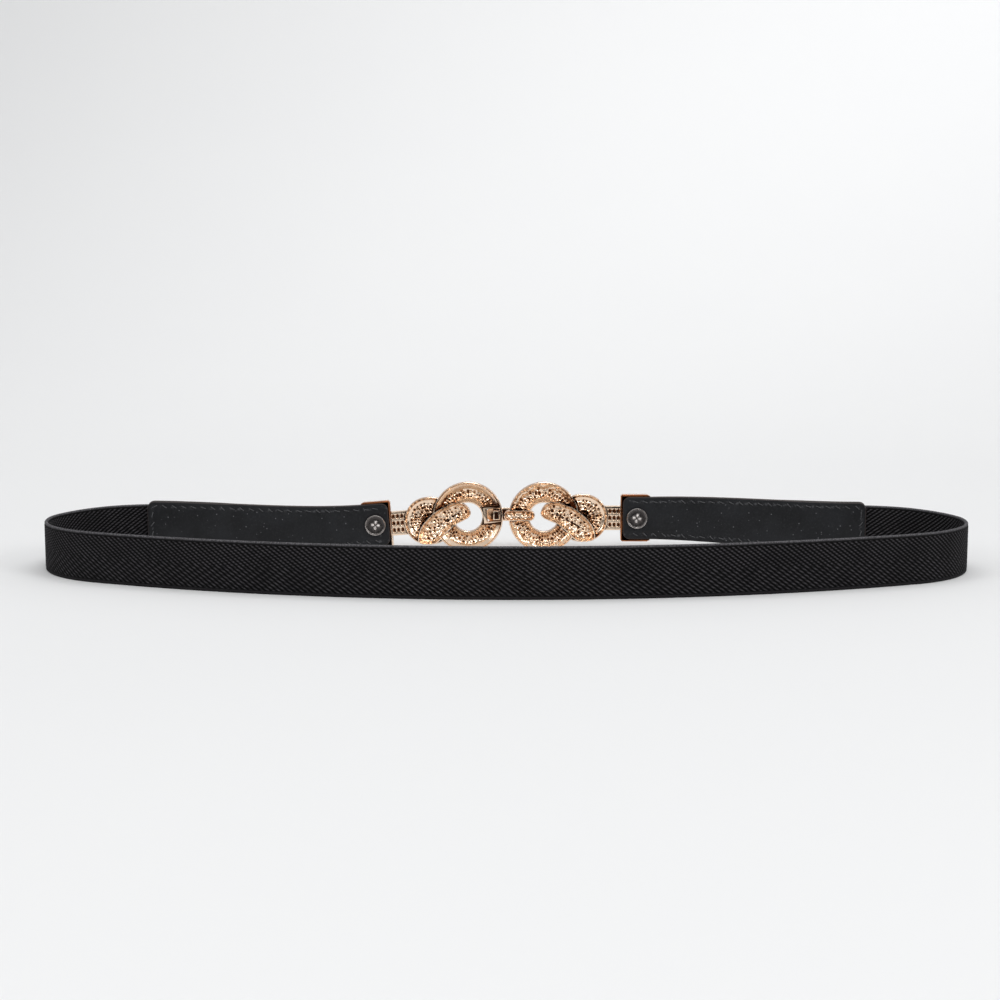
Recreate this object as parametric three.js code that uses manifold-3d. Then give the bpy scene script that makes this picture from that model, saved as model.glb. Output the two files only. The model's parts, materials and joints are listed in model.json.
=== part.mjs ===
// A skinny elastic waist belt, fastened and standing on its lower edge as a closed loop.
// A band of ribbed elastic runs round the back. A two-layer leather tab is sewn over each of its ends, and
// each tab is riveted into one half of a cast clasp: two hammered rings, hooked together at the front.
// Millimetres. +Z is up, +Y points out of the clasp's face, and +X is the wearer's right.
import * as THREE from "three";
import { mergeVertices } from "three/addons/utils/BufferGeometryUtils.js";
import Module from "manifold-3d";

// The loop as it stands, seen from above. The clasp lies on a straight stretch, each tab curves slightly
// towards the back, and a tight front corner and a wider back corner lead into the long back curve.
const loopWidth = 381;
const loopDepth = 118;
const straightPast = 2.8; // the straight stretch runs on this far past each cap
const tabTurn = THREE.MathUtils.degToRad(9);
const frontCornerRadius = 28;
const backCornerTurn = THREE.MathUtils.degToRad(155); // the direction in which the back curve takes over

// Elastic band
const elasticWidth = 20;
const elasticThickness = 1.6;
const elasticInTab = 28;
const elasticLiftRun = 45; // the tabs lift the elastic's ends off the surface over this length

// Leather tabs, each of two layers
const leatherThickness = 1.25;
const tabLength = 105;
const tabWidthAtClasp = 18.6;
const tabMargin = 1.4; // of leather above and below the elastic
const tabCornerRadius = 3;
const tabRise = 0.1; // of the tab's lower corner at the elastic's end
const layerStep = 10; // length over which a layer steps out over the elastic's end
const edgeChamfer = 0.3;

// Cast clasp. Each half has its own frame: out from its ring's centre, up, and depth from the plane of its
// back rims towards its face. All of it is hollow at the back, with rims left standing.
const ringRadius = 15.4;
const holeRadius = 6.3;
const ringGap = 2.4;
const ringDepth = 4.7;
const castWall = 1.5;
const castRim = 1.1;
const headCrown = 5.6;
const lobeRadius = 10.5;
const lobePast = 2.1; // of the lobe's centre past the ring's edge
const lobeDepth = 4.3;
const shankDrop = 0.4; // of the middle line of lobe, neck and cap under the ring's centre
const neckLength = 5.6;
const neckWidth = 10.6;
const neckDepth = 3.4;
const neckBack = 0.5;
const capLength = 13;
const capWall = 0.7;
const capFloor = 1.2;
const capWallBack = 0.45; // the cap's walls end this far short of the inner layer's face
const capChamfer = 1.5;
const catchDroop = THREE.MathUtils.degToRad(4.6); // the catch half hangs down at its outer end

// The hook's bar crosses its own ring, its plate lies on both rings' faces, and its tongue drops into the
// window of the catch half's ring.
const hookWidth = 4.7;
const hookNose = 3.9; // from the ring's centre to the bar's round end
const hookRaise = 0.6;
const plateWidth = 5.8;
const plateThickness = 1.2;
const platePast = 0.8; // of the plate past the window
const tongueWidth = 4;
const tongueThickness = 2.9;
const tongueBack = 0.5;
const windowWidth = 5.8;
const windowHeight = 5.6;
const windowFrame = 1.1;

// Rivets
const rivetIn = 7.1; // from the cap's end wall
const rivetHeadRadius = 4.5;
const rivetHeadDepth = 1.1;
const rivetPostRadius = 1.5;
const rivetFaceRadius = 3;
const rivetFaceDepth = 0.7;

const gap = 0.3; // between neighbouring pieces
const cutPast = 1; // how far a cut runs past what it cuts
const roundSides = 36;
const outlinePoints = 32;

const black = { color: 0x1d1c20, roughness: 0.9, metalness: 0 };
const blackLeather = { color: 0x18171b, roughness: 0.5, metalness: 0 };
const roseGold = { color: 0xdc9f7d, roughness: 0.25, metalness: 1 };
const gunmetal = { color: 0x7d7c82, roughness: 0.3, metalness: 1 };

const wasm = await Module();
wasm.setup();

// Solids

function welded(positions, corners) {
  const mesh = { numProp: 3, vertProperties: positions, triVerts: Uint32Array.from(corners) };
  return new wasm.Manifold(new wasm.Mesh(mesh));
}

// Welds a geometry's triangles into a closed body whose faces all look outwards.
function solidOf(geometry) {
  const weldDistance = 1e-4;
  const bare = new THREE.BufferGeometry();
  bare.setAttribute("position", geometry.attributes.position);
  bare.setIndex(geometry.index);
  const { attributes, index } = mergeVertices(bare, weldDistance);
  const corners = [];
  for (let i = 0; i < index.count; i += 3) {
    const face = [index.getX(i), index.getX(i + 1), index.getX(i + 2)];
    if (new Set(face).size === 3) corners.push(...face);
  }
  const positions = Float32Array.from(attributes.position.array);
  const solid = welded(positions, corners);
  return solid.volume() < 0 ? welded(positions, corners.reverse()) : solid;
}

function geometryOf(solid) {
  const { numProp, vertProperties, triVerts } = solid.getMesh();
  const vertices = new THREE.InterleavedBuffer(vertProperties, numProp);
  const geometry = new THREE.BufferGeometry();
  geometry.setAttribute("position", new THREE.InterleavedBufferAttribute(vertices, 3, 0));
  geometry.setIndex(new THREE.BufferAttribute(triVerts, 1));
  const flat = geometry.toNonIndexed();
  flat.computeVertexNormals();
  return flat;
}

// A body through loops of points that all follow one outline. The outline closes its first and last loop.
function skinned(loops, outline) {
  const count = outline.length;
  const last = (loops.length - 1) * count;
  const corners = [];
  for (const [a, b, c] of THREE.ShapeUtils.triangulateShape(outline, [])) {
    corners.push(c, b, a, last + a, last + b, last + c);
  }
  for (let start = 0; start < last; start += count) {
    for (let i = 0; i < count; i++) {
      const a = start + i;
      const b = start + ((i + 1) % count);
      corners.push(a, b, b + count, a, b + count, a + count);
    }
  }
  const geometry = new THREE.BufferGeometry().setFromPoints(loops.flat());
  geometry.setIndex(corners);
  return solidOf(geometry);
}

// A flat outline of out and up, as a prism between two depths.
function prism(outline, back, front) {
  const geometry = new THREE.ExtrudeGeometry(new THREE.Shape(outline), {
    depth: front - back,
    bevelEnabled: false,
  });
  geometry.translate(0, 0, -front);
  geometry.rotateX(Math.PI / 2);
  return solidOf(geometry);
}

// A round body about a line along the depth, from a profile of radius and depth.
function turned(profile, [out, up] = [0, 0]) {
  const points = profile.map(([radius, depth]) => new THREE.Vector2(radius, depth));
  return solidOf(new THREE.LatheGeometry(points, roundSides)).translate([out, 0, up]);
}

function cylinder(centre, radius, back, front) {
  const profile = [
    [0, back],
    [radius, back],
    [radius, front],
    [0, front],
  ];
  return turned(profile, centre);
}

// The loop's line, which runs midway between the two layers of leather

const lineHalfWidth = (loopWidth - elasticThickness) / 2;
const lineDepth = loopDepth - elasticThickness;
const ringCentre = ringRadius + ringGap / 2;
const lobeOut = ringRadius + lobePast;
const capOut = lobeOut + lobeRadius + neckLength;
const straightHalf = ringCentre + capOut + capLength + straightPast;

// The radii of the two curves that have to meet the loop's width and depth
function openRadii() {
  const sideways = lineHalfWidth - straightHalf - frontCornerRadius * (1 - Math.sin(tabTurn));
  const tab = sideways / Math.sin(tabTurn);
  const front = tab * (1 - Math.cos(tabTurn)) + frontCornerRadius * Math.cos(tabTurn);
  const sin = Math.sin(backCornerTurn);
  const cos = Math.cos(backCornerTurn);
  const perWidth = (1 + cos) / sin;
  const corner = (perWidth * lineHalfWidth - (lineDepth - front)) / (cos + perWidth * (1 - sin));
  return { tab, corner, back: (lineHalfWidth - corner * (1 - sin)) / sin };
}

const open = openRadii();
const arcs = [
  { radius: open.tab, from: 0, to: tabTurn },
  { radius: frontCornerRadius, from: tabTurn, to: Math.PI / 2 },
  { radius: open.corner, from: Math.PI / 2, to: backCornerTurn },
  { radius: open.back, from: backCornerTurn, to: Math.PI },
];
const halfLength = arcs.reduce((sum, arc) => sum + arc.radius * (arc.to - arc.from), straightHalf);

// The point at a distance along the line from the middle of the clasp, and the way out of the loop there.
// The distance counts towards +X, and a negative one towards -X.
function lineAt(distance) {
  const sign = Math.sign(distance) || 1;
  let left = Math.abs(distance);
  if (left > halfLength) return lineAt(sign * (left - 2 * halfLength));
  let x = Math.min(left, straightHalf);
  let y = 0;
  let turn = 0;
  left -= x;
  for (const { radius, from, to } of arcs) {
    turn = Math.min(to, from + left / radius);
    x += radius * (Math.sin(turn) - Math.sin(from));
    y -= radius * (Math.cos(from) - Math.cos(turn));
    if (turn < to) break;
    left -= radius * (to - from);
  }
  return { x: sign * x, y, outX: sign * Math.sin(turn), outY: Math.cos(turn) };
}

// A strip of webbing or leather along the line. Each row says where a section stands on the line, how far
// its middle lies outside it, its middle height and its width. Its top leans along the line by a slope.
function strip(rows, thickness) {
  const half = thickness / 2;
  const chamfered = half - edgeChamfer;
  const corners = (width) => [
    new THREE.Vector2(chamfered, -width / 2),
    new THREE.Vector2(half, edgeChamfer - width / 2),
    new THREE.Vector2(half, width / 2 - edgeChamfer),
    new THREE.Vector2(chamfered, width / 2),
    new THREE.Vector2(-chamfered, width / 2),
    new THREE.Vector2(-half, width / 2 - edgeChamfer),
    new THREE.Vector2(-half, edgeChamfer - width / 2),
    new THREE.Vector2(-chamfered, -width / 2),
  ];
  const loops = rows.map(({ at, outside, height, width, lean }) =>
    corners(width).map(({ x: across, y: up }) => {
      const { x, y, outX, outY } = lineAt(at + lean * up);
      const out = outside + across;
      return new THREE.Vector3(x + outX * out, y + outY * out, height + up);
    }),
  );
  return skinned(loops, corners(rows[0].width));
}

const { lerp, smoothstep } = THREE.MathUtils;

// Each half of the clasp hangs from its ring in its own way.
const catchSide = { name: "left", sign: -1, droop: catchDroop };
const hookSide = { name: "right", sign: 1, droop: 0 };

const ringHeight = ringRadius;
const layerGap = gap;
const backRims = -leatherThickness - layerGap / 2; // where the clasp's back rims lie, from the line
const castFace = 2 * leatherThickness + layerGap + gap + capFloor; // the depth of the cap's face
const tabStart = ringCentre + capOut + capWall + gap;
const tabEnd = tabStart + tabLength;
const tabWidthAtElastic = elasticWidth + 2 * tabMargin;

// Elastic band

const elasticEnd = tabEnd - elasticInTab;

function makeElastic() {
  const steps = 88;
  const length = 2 * (halfLength - elasticEnd);
  const rows = [];
  for (let i = 0; i <= steps; i++) {
    const at = elasticEnd + (length * i) / steps;
    const pastTab = Math.min(at, 2 * halfLength - at) - tabEnd;
    const lift = (tabMargin + tabRise) * (1 - smoothstep(pastTab, 0, elasticLiftRun));
    rows.push({ at, outside: 0, height: elasticWidth / 2 + lift, width: elasticWidth, lean: 0 });
  }
  return strip(rows, elasticThickness);
}

// Leather tabs

// The middle height and slope of a tab. It lies along the cap, and then levels out towards the elastic.
function tabCourse(side, run) {
  const slope = -Math.tan(side.droop);
  const pitch = ringHeight - shankDrop / Math.cos(side.droop);
  const straight = Math.min(run, capLength);
  const leave = pitch + slope * (tabStart - ringCentre + straight);
  if (run <= capLength) return { height: leave, slope };
  const rest = tabWidthAtElastic / 2 + tabRise;
  const length = tabLength - capLength;
  const course = new THREE.CubicBezierCurve(
    new THREE.Vector2(0, leave),
    new THREE.Vector2(length / 3, leave + (slope * length) / 3),
    new THREE.Vector2((length * 2) / 3, rest),
    new THREE.Vector2(length, rest),
  );
  const share = (run - capLength) / length;
  const tangent = course.getTangent(share);
  return { height: course.getPoint(share).y, slope: tangent.y / tangent.x };
}

function tabWidth(run) {
  const flare = Math.max(0, run - capLength) / (tabLength - capLength);
  const missing = tabCornerRadius - Math.min(run, tabLength - run, tabCornerRadius);
  const corner = tabCornerRadius - Math.sqrt(tabCornerRadius ** 2 - missing ** 2);
  return lerp(tabWidthAtClasp, tabWidthAtElastic, flare) - 2 * corner;
}

// The layers lie together at the clasp, and step apart over the elastic's end.
const stepEnd = tabLength - elasticInTab - gap;
const stepStart = stepEnd - layerStep;

function layerOutside(run) {
  const share = smoothstep(run, stepStart, stepEnd);
  return leatherThickness / 2 + lerp(layerGap / 2, elasticThickness / 2 + gap, share);
}

// Where a layer's sections stand: close together round its corners, and then at even steps between the
// places where its form changes.
function tabRuns() {
  const cornerSteps = 4;
  const spacing = 6;
  const corner = [];
  for (let i = 0; i < cornerSteps; i++) {
    corner.push(tabCornerRadius * (1 - Math.cos((i / cornerSteps) * (Math.PI / 2))));
  }
  const changes = [tabCornerRadius, capLength, stepStart, stepEnd, tabLength - tabCornerRadius];
  const between = [changes[0]];
  for (let i = 1; i < changes.length; i++) {
    const steps = Math.ceil((changes[i] - changes[i - 1]) / spacing);
    for (let j = 1; j <= steps; j++) between.push(lerp(changes[i - 1], changes[i], j / steps));
  }
  return [...corner, ...between, ...corner.map((run) => tabLength - run).reverse()];
}

function makeLayer(side, face) {
  const rows = tabRuns().map((run) => {
    const { height, slope } = tabCourse(side, run);
    return {
      at: side.sign * (tabStart + run),
      outside: face * layerOutside(run),
      height,
      width: tabWidth(run),
      lean: -side.sign * slope,
    };
  });
  return strip(rows, leatherThickness).subtract(inBelt(rivetHole(side), side));
}

// Cast clasp

// The place of a clasp half's frame in the belt
function halfPlace(side) {
  const turn = new THREE.Matrix4().makeRotationY(side.sign * side.droop);
  return new THREE.Matrix4().makeTranslation(side.sign * ringCentre, backRims, ringHeight).multiply(turn);
}

function inBelt(solid, side) {
  return solid.transform(halfPlace(side).elements);
}

// A block in a clasp half's frame
function block(side, [inner, outer], [low, high], [back, front]) {
  const geometry = new THREE.BoxGeometry(outer - inner, front - back, high - low);
  const out = (side.sign * (inner + outer)) / 2;
  geometry.translate(out, (back + front) / 2, (low + high) / 2);
  return solidOf(geometry);
}

function onShank(halfWidth) {
  return [-shankDrop - halfWidth, halfWidth - shankDrop];
}

// Draws an outline in towards its spine, by a distance and then by a share of what is left.
function drawnIn(outline, spine, inset, share) {
  return outline.map((p) => {
    const nearest = spine.closestPointToPoint(p, true, new THREE.Vector3());
    const reach = p.distanceTo(nearest);
    return nearest.lerp(p, (Math.max(0, reach - inset) * (1 - share)) / reach);
  });
}

// How a domed boss and the pocket in its back are built up: the share of the way in to the spine, and the
// depth as a share of the boss's crown.
const domeRows = [
  { inward: 0, depth: 0 },
  { inward: 0, depth: 0.45 },
  { inward: 0.12, depth: 0.72 },
  { inward: 0.35, depth: 0.9 },
  { inward: 0.7, depth: 1 },
];
const pocketRows = [
  { inward: 0, depth: -0.2 },
  { inward: 0, depth: 0 },
  { inward: 0.15, depth: 0.3 },
  { inward: 0.45, depth: 0.52 },
  { inward: 0.8, depth: 0.62 },
];

function built({ outline, spine, crown }, inset, rows) {
  const flat = outline.map((p) => new THREE.Vector2(p.x, p.z));
  const ordered = THREE.ShapeUtils.isClockWise(flat) ? [...outline].reverse() : outline;
  const loops = rows.map(({ inward, depth }) =>
    drawnIn(ordered, spine, inset, inward).map((p) => p.setY(depth * crown)),
  );
  return skinned(loops, loops[0].map((p) => new THREE.Vector2(p.x, p.z)));
}

const dome = (form) => built(form, 0, domeRows);
const pocket = (form) => built(form, castRim, pocketRows);

function footprint({ outline, crown }) {
  return prism(outline.map((p) => new THREE.Vector2(p.x, p.z)), -crown, crown);
}

// The tapering head that crosses each ring, as shares of the ring's radius out from and above its centre
const headOutline = [
  { out: -0.09, up: 0.085 },
  { out: -0.013, up: 0.3 },
  { out: 0.156, up: 0.416 },
  { out: 0.39, up: 0.43 },
  { out: 0.65, up: 0.34 },
  { out: 0.91, up: 0.22 },
  { out: 1.117, up: 0.058 },
  { out: 1.305, up: -0.136 },
  { out: 1.43, up: -0.364 },
  { out: 1.448, up: -0.63 },
  { out: 1.234, up: -0.7 },
  { out: 0.987, up: -0.69 },
  { out: 0.818, up: -0.584 },
  { out: 0.714, up: -0.468 },
  { out: 0.52, up: -0.305 },
  { out: 0.364, up: -0.195 },
  { out: 0.149, up: -0.104 },
  { out: -0.013, up: -0.026 },
];
const headSpine = [
  { out: 0.2, up: 0.15 },
  { out: 1.15, up: -0.38 },
];

function headForm(side) {
  const place = ({ out, up }) => new THREE.Vector3(side.sign * out * ringRadius, 0, up * ringRadius);
  const curve = new THREE.CatmullRomCurve3(headOutline.map(place), true, "centripetal");
  const outline = curve.getSpacedPoints(outlinePoints).slice(1);
  return { outline, spine: new THREE.Line3(...headSpine.map(place)), crown: headCrown };
}

// A form with round ends about a line from one out to another
function roundedForm(side, [from, to], radius, up, crown) {
  const start = side.sign < 0 ? Math.PI : 0;
  const outline = [];
  for (let i = 0; i < outlinePoints; i++) {
    const angle = start - Math.PI / 2 + ((i + 0.5) / outlinePoints) * 2 * Math.PI;
    const end = i < outlinePoints / 2 ? to : from;
    const x = side.sign * end + radius * Math.cos(angle);
    outline.push(new THREE.Vector3(x, 0, up + radius * Math.sin(angle)));
  }
  const at = (out) => new THREE.Vector3(side.sign * out, 0, up);
  return { outline, spine: new THREE.Line3(at(from), at(to)), crown };
}

// The ring's face swells between its two edges, and a channel with a round floor runs round its back.
function ringProfile() {
  const shares = [0.08, 0.25, 0.5, 0.75, 0.92];
  const swell = (share) => Math.sqrt(Math.sin(Math.PI * share));
  const inner = holeRadius;
  const outer = ringRadius;
  const edgeDepth = ringDepth / 2;
  const face = [[inner, 0], [inner, edgeDepth]];
  for (const share of shares) {
    face.push([lerp(inner, outer, share), lerp(edgeDepth, ringDepth, swell(share))]);
  }
  face.push([outer, edgeDepth], [outer, 0], [inner, 0]);
  const low = inner + castRim;
  const high = outer - castRim;
  const channel = [[low, -cutPast], [low, 0]];
  for (const share of shares) {
    channel.push([lerp(low, high, share), (ringDepth - castWall) * swell(share)]);
  }
  channel.push([high, 0], [high, -cutPast], [low, -cutPast]);
  return { face, channel };
}

function makeNeck(side) {
  const ends = [lobeOut, capOut + capWall];
  return block(side, ends, onShank(neckWidth / 2), [neckBack, neckDepth]);
}

function neckPocket(side) {
  const ends = [lobeOut, capOut];
  return block(side, ends, onShank(neckWidth / 2 - castRim), [-cutPast, neckDepth - castRim]);
}

// The cap is a tray around the end of the tab, open at the back and at its outer end.
function makeCap(side) {
  const half = tabWidthAtClasp / 2 + gap + capWall;
  const end = capOut + capLength;
  const outline = [
    { out: capOut + capWall, up: -half },
    { out: end - capChamfer, up: -half },
    { out: end, up: capWall - half },
    { out: end, up: half - capWall },
    { out: end - capChamfer, up: half },
    { out: capOut + capWall, up: half },
    { out: capOut, up: half - capWall },
    { out: capOut, up: capWall - half },
  ].map(({ out, up }) => new THREE.Vector2(side.sign * out, up - shankDrop));
  const inside = [-cutPast, castFace - capFloor];
  return prism(outline, capWallBack, castFace)
    .subtract(block(side, [capOut + capWall, end + cutPast], onShank(half - capWall), inside))
    .subtract(rivetHole(side));
}

// One half, with what crosses its ring: a body, the space on the ring's back that it keeps, and a cut
function makeHalf(side, crossing) {
  const ring = ringProfile();
  const head = headForm(side);
  const lobe = roundedForm(side, [lobeOut - castRim, lobeOut], lobeRadius, -shankDrop, lobeDepth);
  const headPrint = footprint(head);
  const channel = turned(ring.channel).subtract(headPrint).subtract(crossing.keep);
  const ringDisc = cylinder([0, 0], ringRadius, -cutPast - ringDepth, ringDepth);
  const lobePocket = pocket(lobe).subtract(headPrint).subtract(ringDisc);
  const hollow = neckPocket(side).subtract(footprint(lobe));
  const body = turned(ring.face).add(dome(head)).add(dome(lobe)).add(makeNeck(side)).add(crossing.body);
  return body
    .subtract(channel)
    .subtract(lobePocket)
    .subtract(hollow)
    .subtract(pocket(head))
    .subtract(crossing.cut)
    .add(makeCap(side));
}

// Out is negative towards the other half.
const windowOuter = -(ringRadius - castRim);
const windowInner = windowOuter + windowWidth;

function makeCatch(side) {
  const half = windowHeight / 2 + windowFrame;
  const ends = [windowOuter - castRim / 2, windowInner + windowFrame];
  const frame = block(side, ends, [-half, half], [0, ringDepth - castWall / 3]);
  const hole = [-windowHeight / 2, windowHeight / 2];
  const cut = block(side, [windowOuter, windowInner], hole, [-cutPast, ringDepth + cutPast]);
  return makeHalf(side, { body: frame, keep: frame, cut });
}

function makeHook(side) {
  const plateBack = ringDepth + gap;
  const plateFace = plateBack + plateThickness;
  const radius = hookWidth / 2;
  const barEnd = -(ringRadius + ringGap - gap);
  const bar = roundedForm(side, [barEnd + radius, -hookNose - radius], radius, hookRaise, plateFace);
  const acrossGap = -2 * ringCentre;
  const round = plateWidth / 2;
  const plateEnds = [acrossGap - windowInner - platePast + round, barEnd + round];
  const plate = dome(roundedForm(side, plateEnds, round, hookRaise, plateThickness));
  const tongueOuter = acrossGap - windowOuter - gap;
  const tongueEnds = [tongueOuter - tongueThickness, tongueOuter];
  const tongueHeight = [hookRaise - tongueWidth / 2, hookRaise + tongueWidth / 2];
  const tongue = block(side, tongueEnds, tongueHeight, [tongueBack, plateBack + plateThickness / 2]);
  const body = dome(bar).add(plate.translate([0, plateBack, 0])).add(tongue);
  return makeHalf(side, { body, keep: footprint(bar), cut: pocket(bar) });
}

// Rivets

const rivetCentre = (side) => [side.sign * (capOut + rivetIn), -shankDrop];

function rivetHole(side) {
  const reach = castFace + cutPast;
  return cylinder(rivetCentre(side), rivetPostRadius + gap, -reach, reach);
}

// The dished head on the tab's inner layer, as shares of the head's radius and depth, from its middle
const rivetHeadRows = [
  { radius: 0, rise: 0.8 },
  { radius: 0.36, rise: 0.75 },
  { radius: 0.45, rise: 0.4 },
  { radius: 0.78, rise: 0.45 },
  { radius: 0.88, rise: 0.92 },
  { radius: 0.95, rise: 1 },
  { radius: 1, rise: 0.8 },
  { radius: 1, rise: 0.15 },
  { radius: 0.95, rise: 0 },
];

function makeRivet(side) {
  const head = rivetHeadRows.map(({ radius, rise }) => [
    radius * rivetHeadRadius,
    -gap - rise * rivetHeadDepth,
  ]);
  const faceBack = castFace + gap;
  const faceFront = faceBack + rivetFaceDepth;
  const profile = [
    ...head,
    [rivetPostRadius, -gap],
    [rivetPostRadius, faceBack],
    [rivetFaceRadius, faceBack],
    [rivetFaceRadius, faceFront - edgeChamfer],
    [rivetFaceRadius - edgeChamfer, faceFront],
    [0, faceFront],
  ];
  return turned(profile, rivetCentre(side));
}

// Assembly

function piece(name, solid, look) {
  const mesh = new THREE.Mesh(geometryOf(solid), new THREE.MeshStandardMaterial(look));
  mesh.name = name;
  return mesh;
}

const loop = new THREE.Group();
loop.add(piece("elastic_band", makeElastic(), black));
for (const side of [catchSide, hookSide]) {
  loop.add(piece(`leather_tab_${side.name}_inner`, makeLayer(side, -1), blackLeather));
  loop.add(piece(`leather_tab_${side.name}_outer`, makeLayer(side, 1), blackLeather));
  const half = new THREE.Group();
  half.applyMatrix4(halfPlace(side));
  const casting = side === catchSide ? makeCatch(side) : makeHook(side);
  half.add(piece(`buckle_half_${side.name}`, casting, roseGold));
  half.add(piece(`rivet_${side.name}`, makeRivet(side), gunmetal));
  loop.add(half);
}

const belt = new THREE.Group();
belt.add(loop);
const bounds = new THREE.Box3().setFromObject(belt, true);
const middle = bounds.getCenter(new THREE.Vector3());
loop.position.set(-middle.x, -middle.y, -bounds.min.z);

export default belt;
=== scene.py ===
"""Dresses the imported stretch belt: ribbed elastic, stitched leather tabs, cast clasp halves and rivets.

Metres, in the part's frame: +Z is up, +Y points out of the clasp's face and +X is the wearer's right.
"""

import json
import math

import bmesh
import bpy
import numpy as np
from mathutils import Matrix, Vector, noise
from mathutils.bvhtree import BVHTree

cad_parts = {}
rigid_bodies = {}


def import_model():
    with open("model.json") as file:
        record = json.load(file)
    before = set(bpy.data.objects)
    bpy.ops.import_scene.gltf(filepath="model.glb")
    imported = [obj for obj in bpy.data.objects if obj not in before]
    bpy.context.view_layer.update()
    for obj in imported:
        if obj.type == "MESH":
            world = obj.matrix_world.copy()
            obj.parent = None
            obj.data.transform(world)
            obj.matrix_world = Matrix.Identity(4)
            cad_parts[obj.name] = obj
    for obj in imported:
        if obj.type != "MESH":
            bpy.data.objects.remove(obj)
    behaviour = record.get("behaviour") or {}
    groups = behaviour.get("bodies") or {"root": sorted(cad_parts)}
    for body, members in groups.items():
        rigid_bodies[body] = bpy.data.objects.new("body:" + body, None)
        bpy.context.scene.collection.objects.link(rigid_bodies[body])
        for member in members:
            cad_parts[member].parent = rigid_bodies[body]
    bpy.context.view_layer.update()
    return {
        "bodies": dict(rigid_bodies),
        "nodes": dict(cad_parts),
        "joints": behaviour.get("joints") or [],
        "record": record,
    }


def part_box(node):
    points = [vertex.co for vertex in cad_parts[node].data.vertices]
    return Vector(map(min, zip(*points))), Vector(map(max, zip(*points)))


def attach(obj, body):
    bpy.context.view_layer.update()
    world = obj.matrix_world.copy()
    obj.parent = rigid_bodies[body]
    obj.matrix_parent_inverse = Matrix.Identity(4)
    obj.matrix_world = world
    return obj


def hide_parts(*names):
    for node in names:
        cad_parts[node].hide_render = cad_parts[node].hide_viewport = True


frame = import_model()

bl_info = {
    "name": "Stretch belt with ring clasp",
    "version": (1, 0, 0),
    "blender": (4, 5, 0),
    "location": "View3D > Sidebar > Belt",
    "description": "Dresses the packed belt: ribbed elastic, stitched leather tabs, cast clasp and rivets",
    "category": "Object",
}

MM = 0.001

# The loop's line and the belt's construction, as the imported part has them
LOOP_WIDTH = 381 * MM
LOOP_DEPTH = 118 * MM
STRAIGHT_PAST = 2.8 * MM
TAB_TURN = math.radians(9)
FRONT_CORNER_RADIUS = 28 * MM
BACK_CORNER_TURN = math.radians(155)

ELASTIC_WIDTH = 20 * MM
ELASTIC_THICKNESS = 1.6 * MM
ELASTIC_IN_TAB = 28 * MM
ELASTIC_LIFT_RUN = 45 * MM

LEATHER_THICKNESS = 1.25 * MM
TAB_LENGTH = 105 * MM
TAB_WIDTH_AT_CLASP = 18.6 * MM
TAB_MARGIN = 1.4 * MM
TAB_CORNER_RADIUS = 3 * MM
TAB_RISE = 0.1 * MM
LAYER_STEP = 10 * MM

RING_RADIUS = 15.4 * MM
HOLE_RADIUS = 6.3 * MM
RING_GAP = 2.4 * MM
RING_DEPTH = 4.7 * MM
HEAD_CROWN = 5.6 * MM
LOBE_RADIUS = 10.5 * MM
LOBE_PAST = 2.1 * MM
LOBE_DEPTH = 4.3 * MM
SHANK_DROP = 0.4 * MM
NECK_LENGTH = 5.6 * MM
NECK_WIDTH = 10.6 * MM
NECK_DEPTH = 3.4 * MM
NECK_BACK = 0.5 * MM
CAP_LENGTH = 13 * MM
CAP_WALL = 0.7 * MM
CAP_FLOOR = 1.2 * MM
CAP_WALL_BACK = 0.45 * MM
CAP_CHAMFER = 1.5 * MM
CATCH_DROOP = math.radians(4.6)

HOOK_WIDTH = 4.7 * MM
HOOK_NOSE = 3.9 * MM
HOOK_RAISE = 0.6 * MM
PLATE_WIDTH = 5.8 * MM
PLATE_THICKNESS = 1.2 * MM
PLATE_PAST = 0.8 * MM
TONGUE_WIDTH = 4 * MM
TONGUE_THICKNESS = 2.9 * MM
TONGUE_BACK = 0.5 * MM
WINDOW_EDGE = 1.1 * MM
WINDOW_WIDTH = 5.8 * MM
WINDOW_HEIGHT = 5.6 * MM

RIVET_IN = 7.1 * MM
GAP = 0.3 * MM
CUT_PAST = 1 * MM

# What follows from them
LINE_HALF_WIDTH = (LOOP_WIDTH - ELASTIC_THICKNESS) / 2
LINE_DEPTH = LOOP_DEPTH - ELASTIC_THICKNESS
RING_CENTRE = RING_RADIUS + RING_GAP / 2
LOBE_OUT = RING_RADIUS + LOBE_PAST
CAP_OUT = LOBE_OUT + LOBE_RADIUS + NECK_LENGTH
STRAIGHT_HALF = RING_CENTRE + CAP_OUT + CAP_LENGTH + STRAIGHT_PAST
TAB_START = RING_CENTRE + CAP_OUT + CAP_WALL + GAP
TAB_END = TAB_START + TAB_LENGTH
TAB_WIDTH_AT_ELASTIC = ELASTIC_WIDTH + 2 * TAB_MARGIN
STEP_END = TAB_LENGTH - ELASTIC_IN_TAB - GAP
CAST_FACE = 2 * LEATHER_THICKNESS + 2 * GAP + CAP_FLOOR
LINE_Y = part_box("elastic_band")[0].y + ELASTIC_THICKNESS / 2 + LINE_DEPTH
BACK_RIMS_Y = LINE_Y - LEATHER_THICKNESS - GAP / 2


class Side:
    """One side of the belt: its name, its direction along X, and how far its clasp half hangs down."""

    def __init__(self, name, sign, droop):
        self.name = name
        self.sign = sign
        self.droop = droop


CATCH_SIDE = Side("left", -1, CATCH_DROOP)
HOOK_SIDE = Side("right", 1, 0)
SIDES = (CATCH_SIDE, HOOK_SIDE)


# Settings


def length(name, description, millimetres):
    return bpy.props.FloatProperty(
        name=name, description=description, default=millimetres * MM, precision=5, unit="LENGTH"
    )


def colour(name, description, default):
    return bpy.props.FloatVectorProperty(
        name=name, description=description, default=default, size=3, min=0, max=1, subtype="COLOR"
    )


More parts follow.
